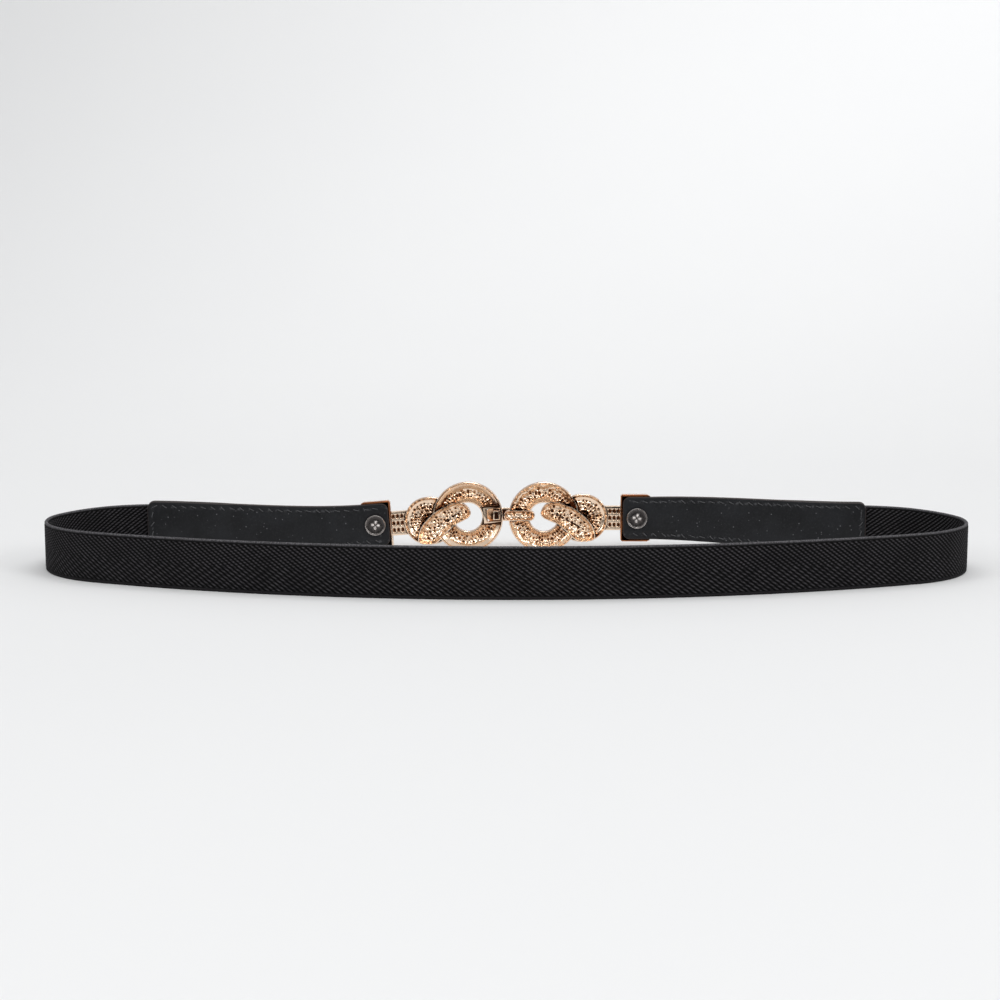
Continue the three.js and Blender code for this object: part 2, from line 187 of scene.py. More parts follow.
class ElasticSettings(bpy.types.PropertyGroup):
    rib_pitch: length("Rib pitch", "Distance between ribs along the belt", 2.3)
    rib_rise: length("Rib rise", "Distance between ribs up the belt", 1.7)
    rib_depth: length("Rib depth", "How far the ribs stand over the web between them", 0.36)
    yarn_pitch: length("Yarn pitch", "Distance between the yarns that cross a rib", 1.05)
    selvage: length("Selvage", "Thickness of the rounded edges", 1.5)
    # Painted light: the ridge colour is a painted highlight on the rib tops and the valley colour is painted shade
    # between the ribs of the black yarn.
    ridge: colour("Ridge", "Colour on top of the ribs", (0.06, 0.057, 0.062))
    valley_shade: colour("Valley", "Colour between the ribs", (0.0006, 0.0006, 0.0008))
    # The top selvage's lighter grey is partly lint and partly painted light from above; the bottom selvage does not
    # get it.
    edge: colour("Selvage colour", "Colour of the lint on the top edge", (0.12, 0.117, 0.125))


class LeatherSettings(bpy.types.PropertyGroup):
    stitch_inset: length("Stitch inset", "From the leather's edge to the stitches", 2.1)
    stitch_pitch: length("Stitch pitch", "Distance from stitch to stitch", 4.1)
    strand: length("Strand", "Length of the thread that shows at a stitch", 2.2)
    thread: length("Thread", "Thickness of the thread", 0.45)
    groove: length("Groove", "How deep the stitches pull the leather in", 0.24)
    grain: colour("Leather", "Colour of the leather's grain side", (0.004, 0.0043, 0.0055))
    worn: colour("Edge", "Colour of the burnished edges", (0.045, 0.033, 0.031))
    # The thread is black: its grey colour is partly lint and partly painted glints.
    thread_colour: colour("Thread colour", "Colour of the thread", (0.075, 0.076, 0.082))


class CastingSettings(bpy.types.PropertyGroup):
    dent_pitch: length("Dent pitch", "Distance between the dents in the back", 1.6)
    dent_depth: length("Dent depth", "Depth of the deepest dents", 0.8)
    hammer_pitch: length("Hammer pitch", "Distance between hammer marks on the face", 2.4)
    hammer_depth: length("Hammer depth", "Depth of the hammer marks", 0.12)
    bright: colour("Plating", "Colour of the open surfaces", (1.0, 0.78, 0.59))
    # Painted shade and painted reflection: the recess colour browns the plating where the surface is half closed in,
    # and the deep-recess colour turns it near black in the dents, for the shade and the dim room that hollows
    # mirror.
    recess: colour("Recess", "Colour where the surface is half closed in", (0.95, 0.47, 0.2))
    deep: colour("Deep recess", "Colour at the bottom of the dents", (0.06, 0.024, 0.012))
    # Painted reflection: the outline colour stands in for the dim surroundings that the rounded rim edges and the
    # cap's wall ends mirror.
    outline: colour("Outline", "Colour round the edges of the rims", (0.42, 0.15, 0.06))


class RivetSettings(bpy.types.PropertyGroup):
    head_radius: length("Head radius", "Radius of the dished head on the leather", 4.5)
    head_depth: length("Head depth", "How far the head stands over the leather", 1.1)
    petals: bpy.props.IntProperty(name="Petals", description="Petals of the spread end", default=4, min=3)
    steel: colour("Steel", "Colour of the plated steel", (0.7, 0.66, 0.64))
    # Painted shade: the dish colour darkens the sunken middle of the head, round the petals.
    dish_shade: colour("Dish", "Colour in the dish of the head", (0.075, 0.068, 0.066))


class StageSettings(bpy.types.PropertyGroup):
    camera_place: bpy.props.FloatVectorProperty(
        name="Camera", description="Where the camera stands", default=(0.0071, -0.653, 0.11), unit="LENGTH"
    )
    camera_turn: bpy.props.FloatProperty(
        name="Turn", description="Camera's turn to the left", default=math.radians(0.78), unit="ROTATION"
    )
    camera_tilt: bpy.props.FloatProperty(
        name="Tilt", description="Camera's tilt below the horizon", default=math.radians(7.01), unit="ROTATION"
    )
    lens: bpy.props.FloatProperty(name="Lens", description="Focal length", default=58.76, unit="CAMERA")
    paper: colour("Paper", "Colour of the floor and backdrop", (0.82, 0.825, 0.83))


# Nodes


def add_node(tree, kind, inputs=None, **settings):
    """A new node with its settings made. Each of its inputs gets a value, or a link from a socket."""
    node = tree.nodes.new(kind)
    for name, value in settings.items():
        setattr(node, name, value)
    for key, value in (inputs or {}).items():
        if isinstance(value, bpy.types.NodeSocket):
            tree.links.new(value, node.inputs[key])
        else:
            node.inputs[key].default_value = value
    return node


def calculated(tree, operation, *values):
    return add_node(tree, "ShaderNodeMath", dict(enumerate(values)), operation=operation).outputs[0]


def ranged(tree, value, low, high, to_low=0.0, to_high=1.0):
    """A value taken smoothly from one range to another."""
    inputs = {"Value": value, "From Min": low, "From Max": high, "To Min": to_low, "To Max": to_high}
    node = add_node(tree, "ShaderNodeMapRange", inputs, interpolation_type="SMOOTHSTEP")
    return node.outputs["Result"]


def mixed(tree, factor, first, second):
    """A colour between two, which are colours or sockets."""
    node = tree.nodes.new("ShaderNodeMix")
    node.data_type = "RGBA"
    sockets = {s.identifier: s for s in node.inputs}
    for name, value in (("Factor_Float", factor), ("A_Color", first), ("B_Color", second)):
        if isinstance(value, bpy.types.NodeSocket):
            tree.links.new(value, sockets[name])
        else:
            sockets[name].default_value = value if name == "Factor_Float" else (*value, 1)
    return next(s for s in node.outputs if s.identifier == "Result_Color")


def new_material(name):
    """A material with nodes, and its shader."""
    made = bpy.data.materials.new(name)
    made.use_nodes = True
    return made, made.node_tree, made.node_tree.nodes["Principled BSDF"]


def object_place(tree):
    return tree.nodes.new("ShaderNodeTexCoord").outputs["Object"]


def attribute(tree, name):
    return add_node(tree, "ShaderNodeAttribute", attribute_name=name).outputs["Fac"]


def noise_at(tree, place, size, detail=2.0, roughness=0.5):
    """Noise whose features are about the given size."""
    inputs = {"Vector": place, "Scale": 1 / size, "Detail": detail, "Roughness": roughness}
    return add_node(tree, "ShaderNodeTexNoise", inputs).outputs["Fac"]


def cells_at(tree, place, size, feature="F1"):
    """Distance from the middle of cells of about the given size."""
    inputs = {"Vector": place, "Scale": 1 / size}
    return add_node(tree, "ShaderNodeTexVoronoi", inputs, feature=feature).outputs["Distance"]


def bumped(tree, shader, height, depth, strength=1.0):
    node = add_node(tree, "ShaderNodeBump", {"Height": height, "Distance": depth, "Strength": strength})
    tree.links.new(node.outputs["Normal"], shader.inputs["Normal"])


def new_tree(name, inputs):
    """A geometry tree that takes and gives geometry, with named inputs of a kind and a default."""
    tree = bpy.data.node_groups.new(name, "GeometryNodeTree")
    tree.interface.new_socket("Geometry", in_out="INPUT", socket_type="NodeSocketGeometry")
    tree.interface.new_socket("Geometry", in_out="OUTPUT", socket_type="NodeSocketGeometry")
    for label, (kind, default) in inputs.items():
        socket = tree.interface.new_socket(label, in_out="INPUT", socket_type=kind)
        if default is not None:
            socket.default_value = default
    entry = tree.nodes.new("NodeGroupInput").outputs
    leave = tree.nodes.new("NodeGroupOutput").inputs["Geometry"]
    return tree, entry, leave


def finished_geometry(tree, geometry, material, leave):
    """Ends a tree: its instances become real and get their material."""
    real = add_node(tree, "GeometryNodeRealizeInstances", {"Geometry": geometry}).outputs["Geometry"]
    dressed = add_node(tree, "GeometryNodeSetMaterial", {"Geometry": real, "Material": material})
    tree.links.new(dressed.outputs["Geometry"], leave)


# Meshes


def evaluated_mesh(obj):
    graph = bpy.context.evaluated_depsgraph_get()
    return bpy.data.meshes.new_from_object(
        obj.evaluated_get(graph), preserve_all_data_layers=True, depsgraph=graph
    )


def settle(obj):
    """Makes an object's modifiers part of its mesh."""
    mesh = evaluated_mesh(obj)
    plain = obj.data
    obj.modifiers.clear()
    obj.data = mesh
    bpy.data.meshes.remove(plain)


def grow(obj, tree, values):
    """Runs a geometry tree on an object with these inputs, and keeps the result as a plain mesh."""
    modifier = obj.modifiers.new(tree.name, "NODES")
    modifier.node_group = tree
    for item in tree.interface.items_tree:
        if item.in_out == "INPUT" and item.name in values:
            modifier[item.identifier] = values[item.name]
    settle(obj)


def new_object(name, mesh):
    obj = bpy.data.objects.new(name, mesh)
    bpy.context.scene.collection.objects.link(obj)
    return obj


def solid(name, vertices, faces):
    """A closed mesh object whose faces all look outwards."""
    mesh = bpy.data.meshes.new(name)
    mesh.from_pydata([tuple(v) for v in vertices], [], faces)
    shape = bmesh.new()
    shape.from_mesh(mesh)
    bmesh.ops.recalc_face_normals(shape, faces=shape.faces)
    shape.to_mesh(mesh)
    shape.free()
    return new_object(name, mesh)


def ring_faces(count, loops, joined=False):
    """The faces between loops of points, and between the last and the first where they are joined."""
    faces = []
    for loop in range(loops if joined else loops - 1):
        here = loop * count
        there = ((loop + 1) % loops) * count
        for i in range(count):
            j = (i + 1) % count
            faces.append((here + i, here + j, there + j, there + i))
    return faces


def skinned(name, loops, joined=False):
    """A closed body through loops of points. Flat faces close its ends unless they are joined."""
    loops = np.asarray(loops, float)
    count = loops.shape[1]
    faces = ring_faces(count, len(loops), joined)
    if not joined:
        faces.append(tuple(range(count)))
        faces.append(tuple(range((len(loops) - 1) * count, len(loops) * count)))
    return solid(name, loops.reshape(-1, 3), faces)


def turned(name, radii, depths, segments):
    """A round body about the depth axis, from arrays of radius and depth with a row for each segment."""
    angles = np.linspace(0, 2 * math.pi, segments, endpoint=False)[:, None]
    loops = np.stack([radii * np.cos(angles), depths + 0 * angles, radii * np.sin(angles)], axis=2)
    return skinned(name, loops, joined=True)


def block(name, low, high, edge=0.0):
    """A block between two corners, with its edges rounded off."""
    low, high = (np.minimum(low, high), np.maximum(low, high))
    mesh = bpy.data.meshes.new(name)
    shape = bmesh.new()
    bmesh.ops.create_cube(shape, size=1)
    for vertex in shape.verts:
        vertex.co = Vector(low + (np.array(vertex.co) + 0.5) * (high - low))
    if edge:
        bmesh.ops.bevel(shape, geom=shape.edges, offset=edge, segments=2, profile=0.5, affect="EDGES")
    shape.to_mesh(mesh)
    shape.free()
    return new_object(name, mesh)


def prism(name, outline, back, front):
    """A flat outline of x and z, as a body between two depths."""
    loops = [[(x, depth, z) for x, z in outline] for depth in (back, front)]
    return skinned(name, loops)


def combine(body, tool, operation):
    """Adds a tool to a body, or cuts it away, and removes the tool."""
    modifier = body.modifiers.new("Combine", "BOOLEAN")
    modifier.operation = operation
    modifier.solver = "MANIFOLD"
    modifier.object = tool
    before = len(body.data.polygons)
    settle(body)
    if len(body.data.polygons) == before:
        raise RuntimeError(f"{tool.name} left {body.name} as it was")
    bpy.data.objects.remove(tool)
    return body


def join_on(body, *tools):
    for tool in tools:
        combine(body, tool, "UNION")
    return body


def cut_from(body, *tools):
    for tool in tools:
        combine(body, tool, "DIFFERENCE")
    return body


def ray_tree(*objects):
    """What rays meet: the faces of several objects as one."""
    shape = bmesh.new()
    for obj in objects:
        shape.from_mesh(obj.data)
    tree = BVHTree.FromBMesh(shape)
    shape.free()
    return tree


def store_values(obj, name, values):
    """Stores a number at each vertex."""
    layer = obj.data.attributes.new(name, "FLOAT", "POINT")
    layer.data.foreach_set("value", np.array(values, np.float32))


def measure_recess(obj, tree, reaches, rays=24):
    """Stores at each vertex how far it is closed in, from 0 to 1, by what is nearer than each named reach."""
    golden = math.pi * (3 - math.sqrt(5))
    farthest = max(reaches.values())
    closed = {name: [] for name in reaches}
    for vertex in obj.data.vertices:
        out = vertex.normal
        turn = out.to_track_quat("Z", "X")
        start = vertex.co + out * 0.02 * MM
        found = []
        for i in range(rays):
            height = 1 - (i + 0.5) / rays
            flat = math.sqrt(1 - height * height)
            ray = turn @ Vector((flat * math.cos(i * golden), flat * math.sin(i * golden), height))
            hit = tree.ray_cast(start, ray, farthest)
            found.append(farthest if hit[0] is None else hit[3])
        for name, reach in reaches.items():
            closed[name].append(sum(max(0.0, 1 - away / reach) for away in found) / rays)
    for name, values in closed.items():
        store_values(obj, name, values)


def dress(obj, material, node=None, crease=None):
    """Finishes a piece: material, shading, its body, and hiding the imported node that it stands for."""
    if material is not None:
        obj.data.materials.clear()
        obj.data.materials.append(material)
    obj.data.shade_smooth()
    if crease is not None:
        obj.data.set_sharp_from_angle(angle=crease)
    if node is not None:
        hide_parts(node)
    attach(obj, "root")


# The loop's line


def loop_arcs():
    """The arcs of half the loop after its straight stretch: radius, and the directions they run between."""
    sideways = LINE_HALF_WIDTH - STRAIGHT_HALF - FRONT_CORNER_RADIUS * (1 - math.sin(TAB_TURN))
    tab = sideways / math.sin(TAB_TURN)
    front = tab * (1 - math.cos(TAB_TURN)) + FRONT_CORNER_RADIUS * math.cos(TAB_TURN)
    sine = math.sin(BACK_CORNER_TURN)
    cosine = math.cos(BACK_CORNER_TURN)
    per_width = (1 + cosine) / sine
    corner = (per_width * LINE_HALF_WIDTH - (LINE_DEPTH - front)) / (cosine + per_width * (1 - sine))
    back = (LINE_HALF_WIDTH - corner * (1 - sine)) / sine
    return [
        (tab, 0, TAB_TURN),
        (FRONT_CORNER_RADIUS, TAB_TURN, math.pi / 2),
        (corner, math.pi / 2, BACK_CORNER_TURN),
        (back, BACK_CORNER_TURN, math.pi),
    ]


ARCS = loop_arcs()
HALF_LENGTH = STRAIGHT_HALF + sum(radius * (end - start) for radius, start, end in ARCS)


def line_at(distance):
    """The point at a distance along the line from the clasp's middle, towards +X, and the way out there."""
    sign = -1 if distance < 0 else 1
    left = abs(distance)
    if left > HALF_LENGTH:
        return line_at(sign * (left - 2 * HALF_LENGTH))
    x = min(left, STRAIGHT_HALF)
    y = LINE_Y
    turn = 0.0
    left -= x
    for radius, start, end in ARCS:
        turn = min(end, start + left / radius)
        x += radius * (math.sin(turn) - math.sin(start))
        y -= radius * (math.cos(start) - math.cos(turn))
        if turn < end:
            break
        left -= radius * (end - start)
    return Vector((sign * x, y, 0)), Vector((sign * math.sin(turn), math.cos(turn), 0))


def eased(value, low, high):
    """0 below a range and 1 above it, with a smooth way between."""
    at = min(1.0, max(0.0, (value - low) / (high - low)))
    return at * at * (3 - 2 * at)


def between(low, high, at):
    return low + (high - low) * at


# Elastic band

ELASTIC_START = TAB_END - ELASTIC_IN_TAB
ELASTIC_STOP = 2 * HALF_LENGTH - ELASTIC_START


def elastic_height(along):
    """The height of the elastic's middle, which the tabs lift off the surface at its ends."""
    past_tab = min(along, 2 * HALF_LENGTH - along) - TAB_END
    lift = (TAB_MARGIN + TAB_RISE) * (1 - eased(past_tab, 0, ELASTIC_LIFT_RUN))
    return ELASTIC_WIDTH / 2 + lift


def elastic_section(elastic):
    """The elastic's section as points of across and up: two flat faces and a rounded selvage at each edge."""
    bead = elastic.selvage / 2
    middle = ELASTIC_WIDTH / 2 - bead
    web = ELASTIC_THICKNESS / 2 - elastic.rib_depth
    plain = middle - 0.6 * bead
    fade = 0.3 * MM
    heights = [-plain, *np.linspace(fade - plain, plain - fade, 9), plain]
    round_top = np.radians(np.linspace(-25, 205, 6))
    section = [(web, up) for up in heights]
    section += [(bead * math.cos(a), middle + bead * math.sin(a)) for a in round_top]
    section += [(-web, up) for up in reversed(heights)]
    section += [(-bead * math.cos(a), -middle - bead * math.sin(a)) for a in round_top]
    return section, plain


def elastic_sheet(elastic):
    """The elastic without its ribs. Its columns lean as the ribs do, so that a rib follows a column."""
    section, plain = elastic_section(elastic)
    lean = elastic.rib_pitch / elastic.rib_rise
    reach = lean * ELASTIC_WIDTH / 2
    samples_per_rib = 8
    columns = int((ELASTIC_STOP - ELASTIC_START + 2 * reach) / elastic.rib_pitch * samples_per_rib)
    shape = bmesh.new()
    along_layer = shape.verts.layers.float.new("along")
    up_layer = shape.verts.layers.float.new("up")
    loops = []
    for foot in np.linspace(ELASTIC_START - reach, ELASTIC_STOP + reach, columns):
        loop = []
        for across, up in section:
            along = min(ELASTIC_STOP, max(ELASTIC_START, foot + lean * up))
            place, out = line_at(along)
            fuzz = 0.09 * MM * noise.noise(Vector((along / (0.7 * MM), across / MM, up / MM)))
            if abs(up) > plain:
                up += math.copysign(fuzz, up)
            place += out * across
            place.z = max(0.0, elastic_height(along) + up)
            vertex = shape.verts.new(place)
            vertex[along_layer] = along
            vertex[up_layer] = up
            loop.append(vertex)
        loops.append(loop)
    count = len(section)
    for near, far in zip(loops, loops[1:]):
        for i in range(count):
            j = (i + 1) % count
            shape.faces.new((near[i], near[j], far[j], far[i]))
    shape.faces.new(loops[0])
    shape.faces.new(loops[-1])
    bmesh.ops.remove_doubles(shape, verts=shape.verts, dist=0.002 * MM)
    bmesh.ops.recalc_face_normals(shape, faces=shape.faces)
    mesh = bpy.data.meshes.new("elastic")
    shape.to_mesh(mesh)
    shape.free()
    return new_object("elastic", mesh), plain


def rib_tree():
    """Raises slanting ribs on both faces of a band, from its attributes along and up."""
    tree, entry, leave = new_tree("Twill ribs", {
        "Rib pitch": ("NodeSocketFloat", 0.0023),
        "Rib rise": ("NodeSocketFloat", 0.0017),
        "Rib depth": ("NodeSocketFloat", 0.00036),
        "Ribbed half width": ("NodeSocketFloat", 0.0088),
        "Material": ("NodeSocketMaterial", None),
    })
    along = add_node(tree, "GeometryNodeInputNamedAttribute", {"Name": "along"}).outputs["Attribute"]
    up = add_node(tree, "GeometryNodeInputNamedAttribute", {"Name": "up"}).outputs["Attribute"]
    ribs = calculated(
        tree, "SUBTRACT",
        calculated(tree, "DIVIDE", along, entry["Rib pitch"]),
        calculated(tree, "DIVIDE", up, entry["Rib rise"]),
    )
    wave = calculated(tree, "COSINE", calculated(tree, "MULTIPLY", ribs, 2 * math.pi))
    rounded = calculated(tree, "POWER", calculated(tree, "MULTIPLY_ADD", wave, 0.5, 0.5), 0.75)
    inside = calculated(tree, "LESS_THAN", calculated(tree, "ABSOLUTE", up), entry["Ribbed half width"])
    height = calculated(tree, "MULTIPLY", rounded, inside)
    stored = add_node(
        tree, "GeometryNodeStoreNamedAttribute",
        {"Geometry": entry["Geometry"], "Name": "rib", "Value": height},
        data_type="FLOAT", domain="POINT",
    ).outputs["Geometry"]
    normal = tree.nodes.new("GeometryNodeInputNormal").outputs["Normal"]
    rise = calculated(tree, "MULTIPLY", height, entry["Rib depth"])
    offset = add_node(tree, "ShaderNodeVectorMath", {0: normal, "Scale": rise}, operation="SCALE")
    raised = add_node(
        tree, "GeometryNodeSetPosition", {"Geometry": stored, "Offset": offset.outputs["Vector"]}
    ).outputs["Geometry"]
    finished_geometry(tree, raised, entry["Material"], leave)
    return tree


def elastic_material(elastic):
    """Matt black covered yarn: a painted highlight on the ribs, painted shade between them, and plain grey selvages,
    the top one lighter with lint and painted light from above.
    """
    material, tree, shader = new_material("ribbed_elastic")
    place = object_place(tree)
    rib = attribute(tree, "rib")
    up = calculated(tree, "ABSOLUTE", attribute(tree, "up"))
    yarn = noise_at(tree, place, 0.55 * MM, 3)
    patches = noise_at(tree, place, 9 * MM)
    turns = calculated(tree, "MULTIPLY", up, 2 * math.pi / elastic.yarn_pitch)
    across = calculated(tree, "MULTIPLY", attribute(tree, "along"), math.pi / elastic.rib_pitch)
    crossings = calculated(tree, "SINE", calculated(tree, "ADD", turns, across))
    beaded = calculated(tree, "MULTIPLY_ADD", yarn, 1.2, calculated(tree, "MULTIPLY", crossings, 0.25))
    # Painted highlight on the ribs and painted shade in the web between them.
    face = mixed(tree, ranged(tree, rib, 0.35, 0.95), tuple(elastic.valley_shade), tuple(elastic.ridge))
    # Painted glints: the ribs keep their painted highlight where yarns cross them, and sink to the painted shade
    # colour between.
    face = mixed(tree, ranged(tree, beaded, 0.9, 0.4, 0.0, 0.75), face, tuple(elastic.valley_shade))
    face = mixed(tree, ranged(tree, patches, 0.4, 0.75, 0.0, 0.25), face, tuple(elastic.valley_shade))
    # Partly lint, partly painted light: only the top selvage, which faces the light above, takes the lighter edge
    # colour.
    top_edge_lint_and_light = ranged(tree, attribute(tree, "up"), ELASTIC_WIDTH / 2 - 0.9 * MM, ELASTIC_WIDTH / 2 - 0.3 * MM)
    plain = ranged(tree, up, ELASTIC_WIDTH / 2 - elastic.selvage, ELASTIC_WIDTH / 2 - 0.6 * elastic.selvage)
    face = mixed(tree, plain, face, tuple(0.25 * c for c in elastic.ridge))
    edge_shade = tuple(0.35 * c for c in elastic.edge)
    edge_lint_and_light_colour = mixed(tree, ranged(tree, yarn, 0.4, 0.6, 0, 0.9), tuple(elastic.edge), edge_shade)
    tree.links.new(mixed(tree, top_edge_lint_and_light, face, edge_lint_and_light_colour), shader.inputs["Base Color"])
    tree.links.new(ranged(tree, yarn, 0.2, 0.8, 0.62, 0.85), shader.inputs["Roughness"])
    shader.inputs["Specular IOR Level"].default_value = 0.08
    beads = calculated(tree, "MULTIPLY_ADD", cells_at(tree, place, 0.5 * MM), -0.7, yarn)
    bumped(tree, shader, beads, 0.12 * MM, 0.8)
    return material


class BELT_OT_make_elastic(bpy.types.Operator):
    """Makes the ribbed elastic band that runs round the back of the loop"""

    bl_idname = "belt.make_elastic"
    bl_label = "Make elastic"

    def execute(self, context):
        elastic = context.scene.belt_elastic
        band, plain = elastic_sheet(elastic)
        material = elastic_material(elastic)
        grow(band, rib_tree(), {
            "Rib pitch": elastic.rib_pitch,
            "Rib rise": elastic.rib_rise,
            "Rib depth": elastic.rib_depth,
            "Ribbed half width": plain - 0.1 * MM,
            "Material": material,
        })
        dress(band, material, "elastic_band")
        return {"FINISHED"}


# Leather tabs


def tab_course(side, run):
    """The middle height and slope of a tab. It lies along the cap, then levels out towards the elastic."""
    slope = -math.tan(side.droop)
    pitch = RING_RADIUS - SHANK_DROP / math.cos(side.droop)
    leave = pitch + slope * (TAB_START - RING_CENTRE + min(run, CAP_LENGTH))
    if run <= CAP_LENGTH:
        return leave, slope
    rest = TAB_WIDTH_AT_ELASTIC / 2 + TAB_RISE
    reach = TAB_LENGTH - CAP_LENGTH
    at = (run - CAP_LENGTH) / reach
    corners = [leave, leave + slope * reach / 3, rest, rest]
    weights = [(1 - at) ** 3, 3 * at * (1 - at) ** 2, 3 * at * at * (1 - at), at**3]
    pulls = [3 * (1 - at) ** 2, 6 * at * (1 - at), 3 * at * at]
    height = sum(w * c for w, c in zip(weights, corners))
    climb = sum(p * (b - a) for p, a, b in zip(pulls, corners, corners[1:])) / reach
    return height, climb


def tab_half_width(run):
    flare = max(0.0, run - CAP_LENGTH) / (TAB_LENGTH - CAP_LENGTH)
    return between(TAB_WIDTH_AT_CLASP, TAB_WIDTH_AT_ELASTIC, flare) / 2


def corner_cut(run):
    """How far the rounded corners draw the tab's edge in at this run."""
    missing = TAB_CORNER_RADIUS - min(run, TAB_LENGTH - run, TAB_CORNER_RADIUS)
    return TAB_CORNER_RADIUS - math.sqrt(max(0.0, TAB_CORNER_RADIUS**2 - missing**2))


def edge_distance(run, up, from_clasp=True):
    """How far a point of the tab is from its edge. The clasp's end may be left out of count."""
    inward = tab_half_width(run) - abs(up)
    past = min(run, TAB_LENGTH - run) if from_clasp else TAB_LENGTH - run
    if past < TAB_CORNER_RADIUS and inward < TAB_CORNER_RADIUS:
        to_middle = math.hypot(TAB_CORNER_RADIUS - past, TAB_CORNER_RADIUS - inward)
        return max(0.0, TAB_CORNER_RADIUS - to_middle)
    return max(0.0, min(past, inward))


def layer_outside(run):
    """How far a layer's middle lies from the line. It steps out over the elastic's end."""
    step = eased(run, STEP_END - LAYER_STEP, STEP_END)
    return LEATHER_THICKNESS / 2 + between(GAP / 2, ELASTIC_THICKNESS / 2 + GAP, step)


def on_tab(side, run, up, across):
    """The point of a tab at a run from its clasp's end, a height on it, and a distance from the line."""
    height, slope = tab_course(side, run)
    place, out = line_at(side.sign * (TAB_START + run) - side.sign * slope * up)
    place += out * across
    place.z = height + up
    return place, out


def pull_in(leather, run, up):
    """How far the stitches pull the leather in at a point, with a pucker at each of them."""
    inset = edge_distance(run, up, from_clasp=False)
    off = (inset - leather.stitch_inset) / (0.75 * MM)
    along_end = TAB_LENGTH - run < tab_half_width(run) - abs(up)
    phase = (up if along_end else run) / leather.stitch_pitch
    pucker = 0.62 + 0.38 * math.cos(2 * math.pi * phase)
    return leather.groove * math.exp(-off * off) * pucker


EDGE_STEPS = [0.0, 0.05 * MM, 0.16 * MM, 0.32 * MM, 0.55 * MM, 0.9 * MM]


def tab_columns():
    corner = [*EDGE_STEPS, 1.4 * MM, 2.1 * MM, TAB_CORNER_RADIUS]
    steps = int((TAB_LENGTH - 2 * TAB_CORNER_RADIUS) / (0.55 * MM))
    middle = np.linspace(TAB_CORNER_RADIUS, TAB_LENGTH - TAB_CORNER_RADIUS, steps)[1:-1]
    return [*corner, *middle, *[TAB_LENGTH - run for run in reversed(corner)]]


def tab_rows(run):
    """The heights of a column's points, close together at its edges."""
    half = tab_half_width(run) - corner_cut(run)
    middle = list(np.linspace(EDGE_STEPS[-1] - half, half - EDGE_STEPS[-1], 37)[1:-1])
    return [*[step - half for step in EDGE_STEPS], *middle, *[half - step for step in reversed(EDGE_STEPS)]]


def layer_sheet(side, face, leather):
    """One layer of a tab, with rounded edges. Its stitches sink into the face that shows."""
    shape = bmesh.new()
    edge_layer = shape.verts.layers.float.new("edge")
    seam_layer = shape.verts.layers.float.new("seam")
    columns = tab_columns()
    last_row = len(tab_rows(0)) - 1
    sheets = {}
    for way in (-1, 1):
        for c, run in enumerate(columns):
            for r, up in enumerate(tab_rows(run)):
                on_edge = c in (0, len(columns) - 1) or r in (0, last_row)
                if on_edge and way == 1:
                    sheets[way, c, r] = sheets[-1, c, r]
                    continue
                inset = min(1.0, edge_distance(run, up) / (0.6 * MM))
                swell = (1 - (1 - inset) ** 2.4) ** (1 / 2.4)
                thick = way * LEATHER_THICKNESS / 2 * swell
                pulled = pull_in(leather, run, up) if way == face and not on_edge else 0.0
                thick -= way * pulled
                soft = noise.noise(Vector((side.sign * run / (9 * MM), up / (7 * MM), face * 5.0)))
                across = face * layer_outside(run) + thick + 0.07 * MM * soft
                place, _ = on_tab(side, run, up, across)
                vertex = shape.verts.new(place)
                vertex[edge_layer] = 1 - inset
                vertex[seam_layer] = pulled / leather.groove
                sheets[way, c, r] = vertex
    for way in (-1, 1):
        for c in range(len(columns) - 1):
            for r in range(last_row):
                corners = [sheets[way, c + i, r + j] for i, j in ((0, 0), (1, 0), (1, 1), (0, 1))]
                shape.faces.new(corners)
    bmesh.ops.recalc_face_normals(shape, faces=shape.faces)
    name = f"leather_{side.name}_{'inner' if face < 0 else 'outer'}"
    mesh = bpy.data.meshes.new(name)
    shape.to_mesh(mesh)
    shape.free()
    return new_object(name, mesh)


def leather_material(leather):
    """Smooth black leather: fine grain, a soft uneven sheen, a little lint and burnished edges."""
    material, tree, shader = new_material("black_leather")
    place = object_place(tree)
    cloud = noise_at(tree, place, 14 * MM, 3)
    fine = noise_at(tree, place, 0.8 * MM, 4, 0.65)
    base = mixed(tree, ranged(tree, cloud, 0.3, 0.75, 0, 0.8), tuple(leather.grain), (0.011, 0.012, 0.0145))
    base = mixed(tree, ranged(tree, fine, 0.5, 0.72, 0, 0.35), base, (0.03, 0.031, 0.034))
    specks = calculated(
        tree, "MULTIPLY",
        ranged(tree, cells_at(tree, place, 2.4 * MM), 0.14, 0.06),
        ranged(tree, noise_at(tree, place, 5 * MM), 0.4, 0.52),
    )
    base = mixed(tree, calculated(tree, "MULTIPLY", specks, 0.8), base, (0.14, 0.14, 0.15))
    rubbed = calculated(
        tree, "MULTIPLY",
        ranged(tree, attribute(tree, "seam"), 0.3, 0.95),
        ranged(tree, noise_at(tree, place, 1.3 * MM, 3), 0.45, 0.62),
    )
    base = mixed(tree, calculated(tree, "MULTIPLY", rubbed, 0.75), base, tuple(leather.thread_colour))
    worn = ranged(tree, attribute(tree, "edge"), 0.25, 0.9)
    tree.links.new(mixed(tree, worn, base, tuple(leather.worn)), shader.inputs["Base Color"])
    tree.links.new(ranged(tree, fine, 0.3, 0.7, 0.4, 0.56), shader.inputs["Roughness"])
    shader.inputs["Specular IOR Level"].default_value = 0.3
    pores = calculated(tree, "MULTIPLY_ADD", cells_at(tree, place, 0.42 * MM), 0.6, fine)
    bumped(tree, shader, pores, 0.06 * MM, 0.7)
    return material


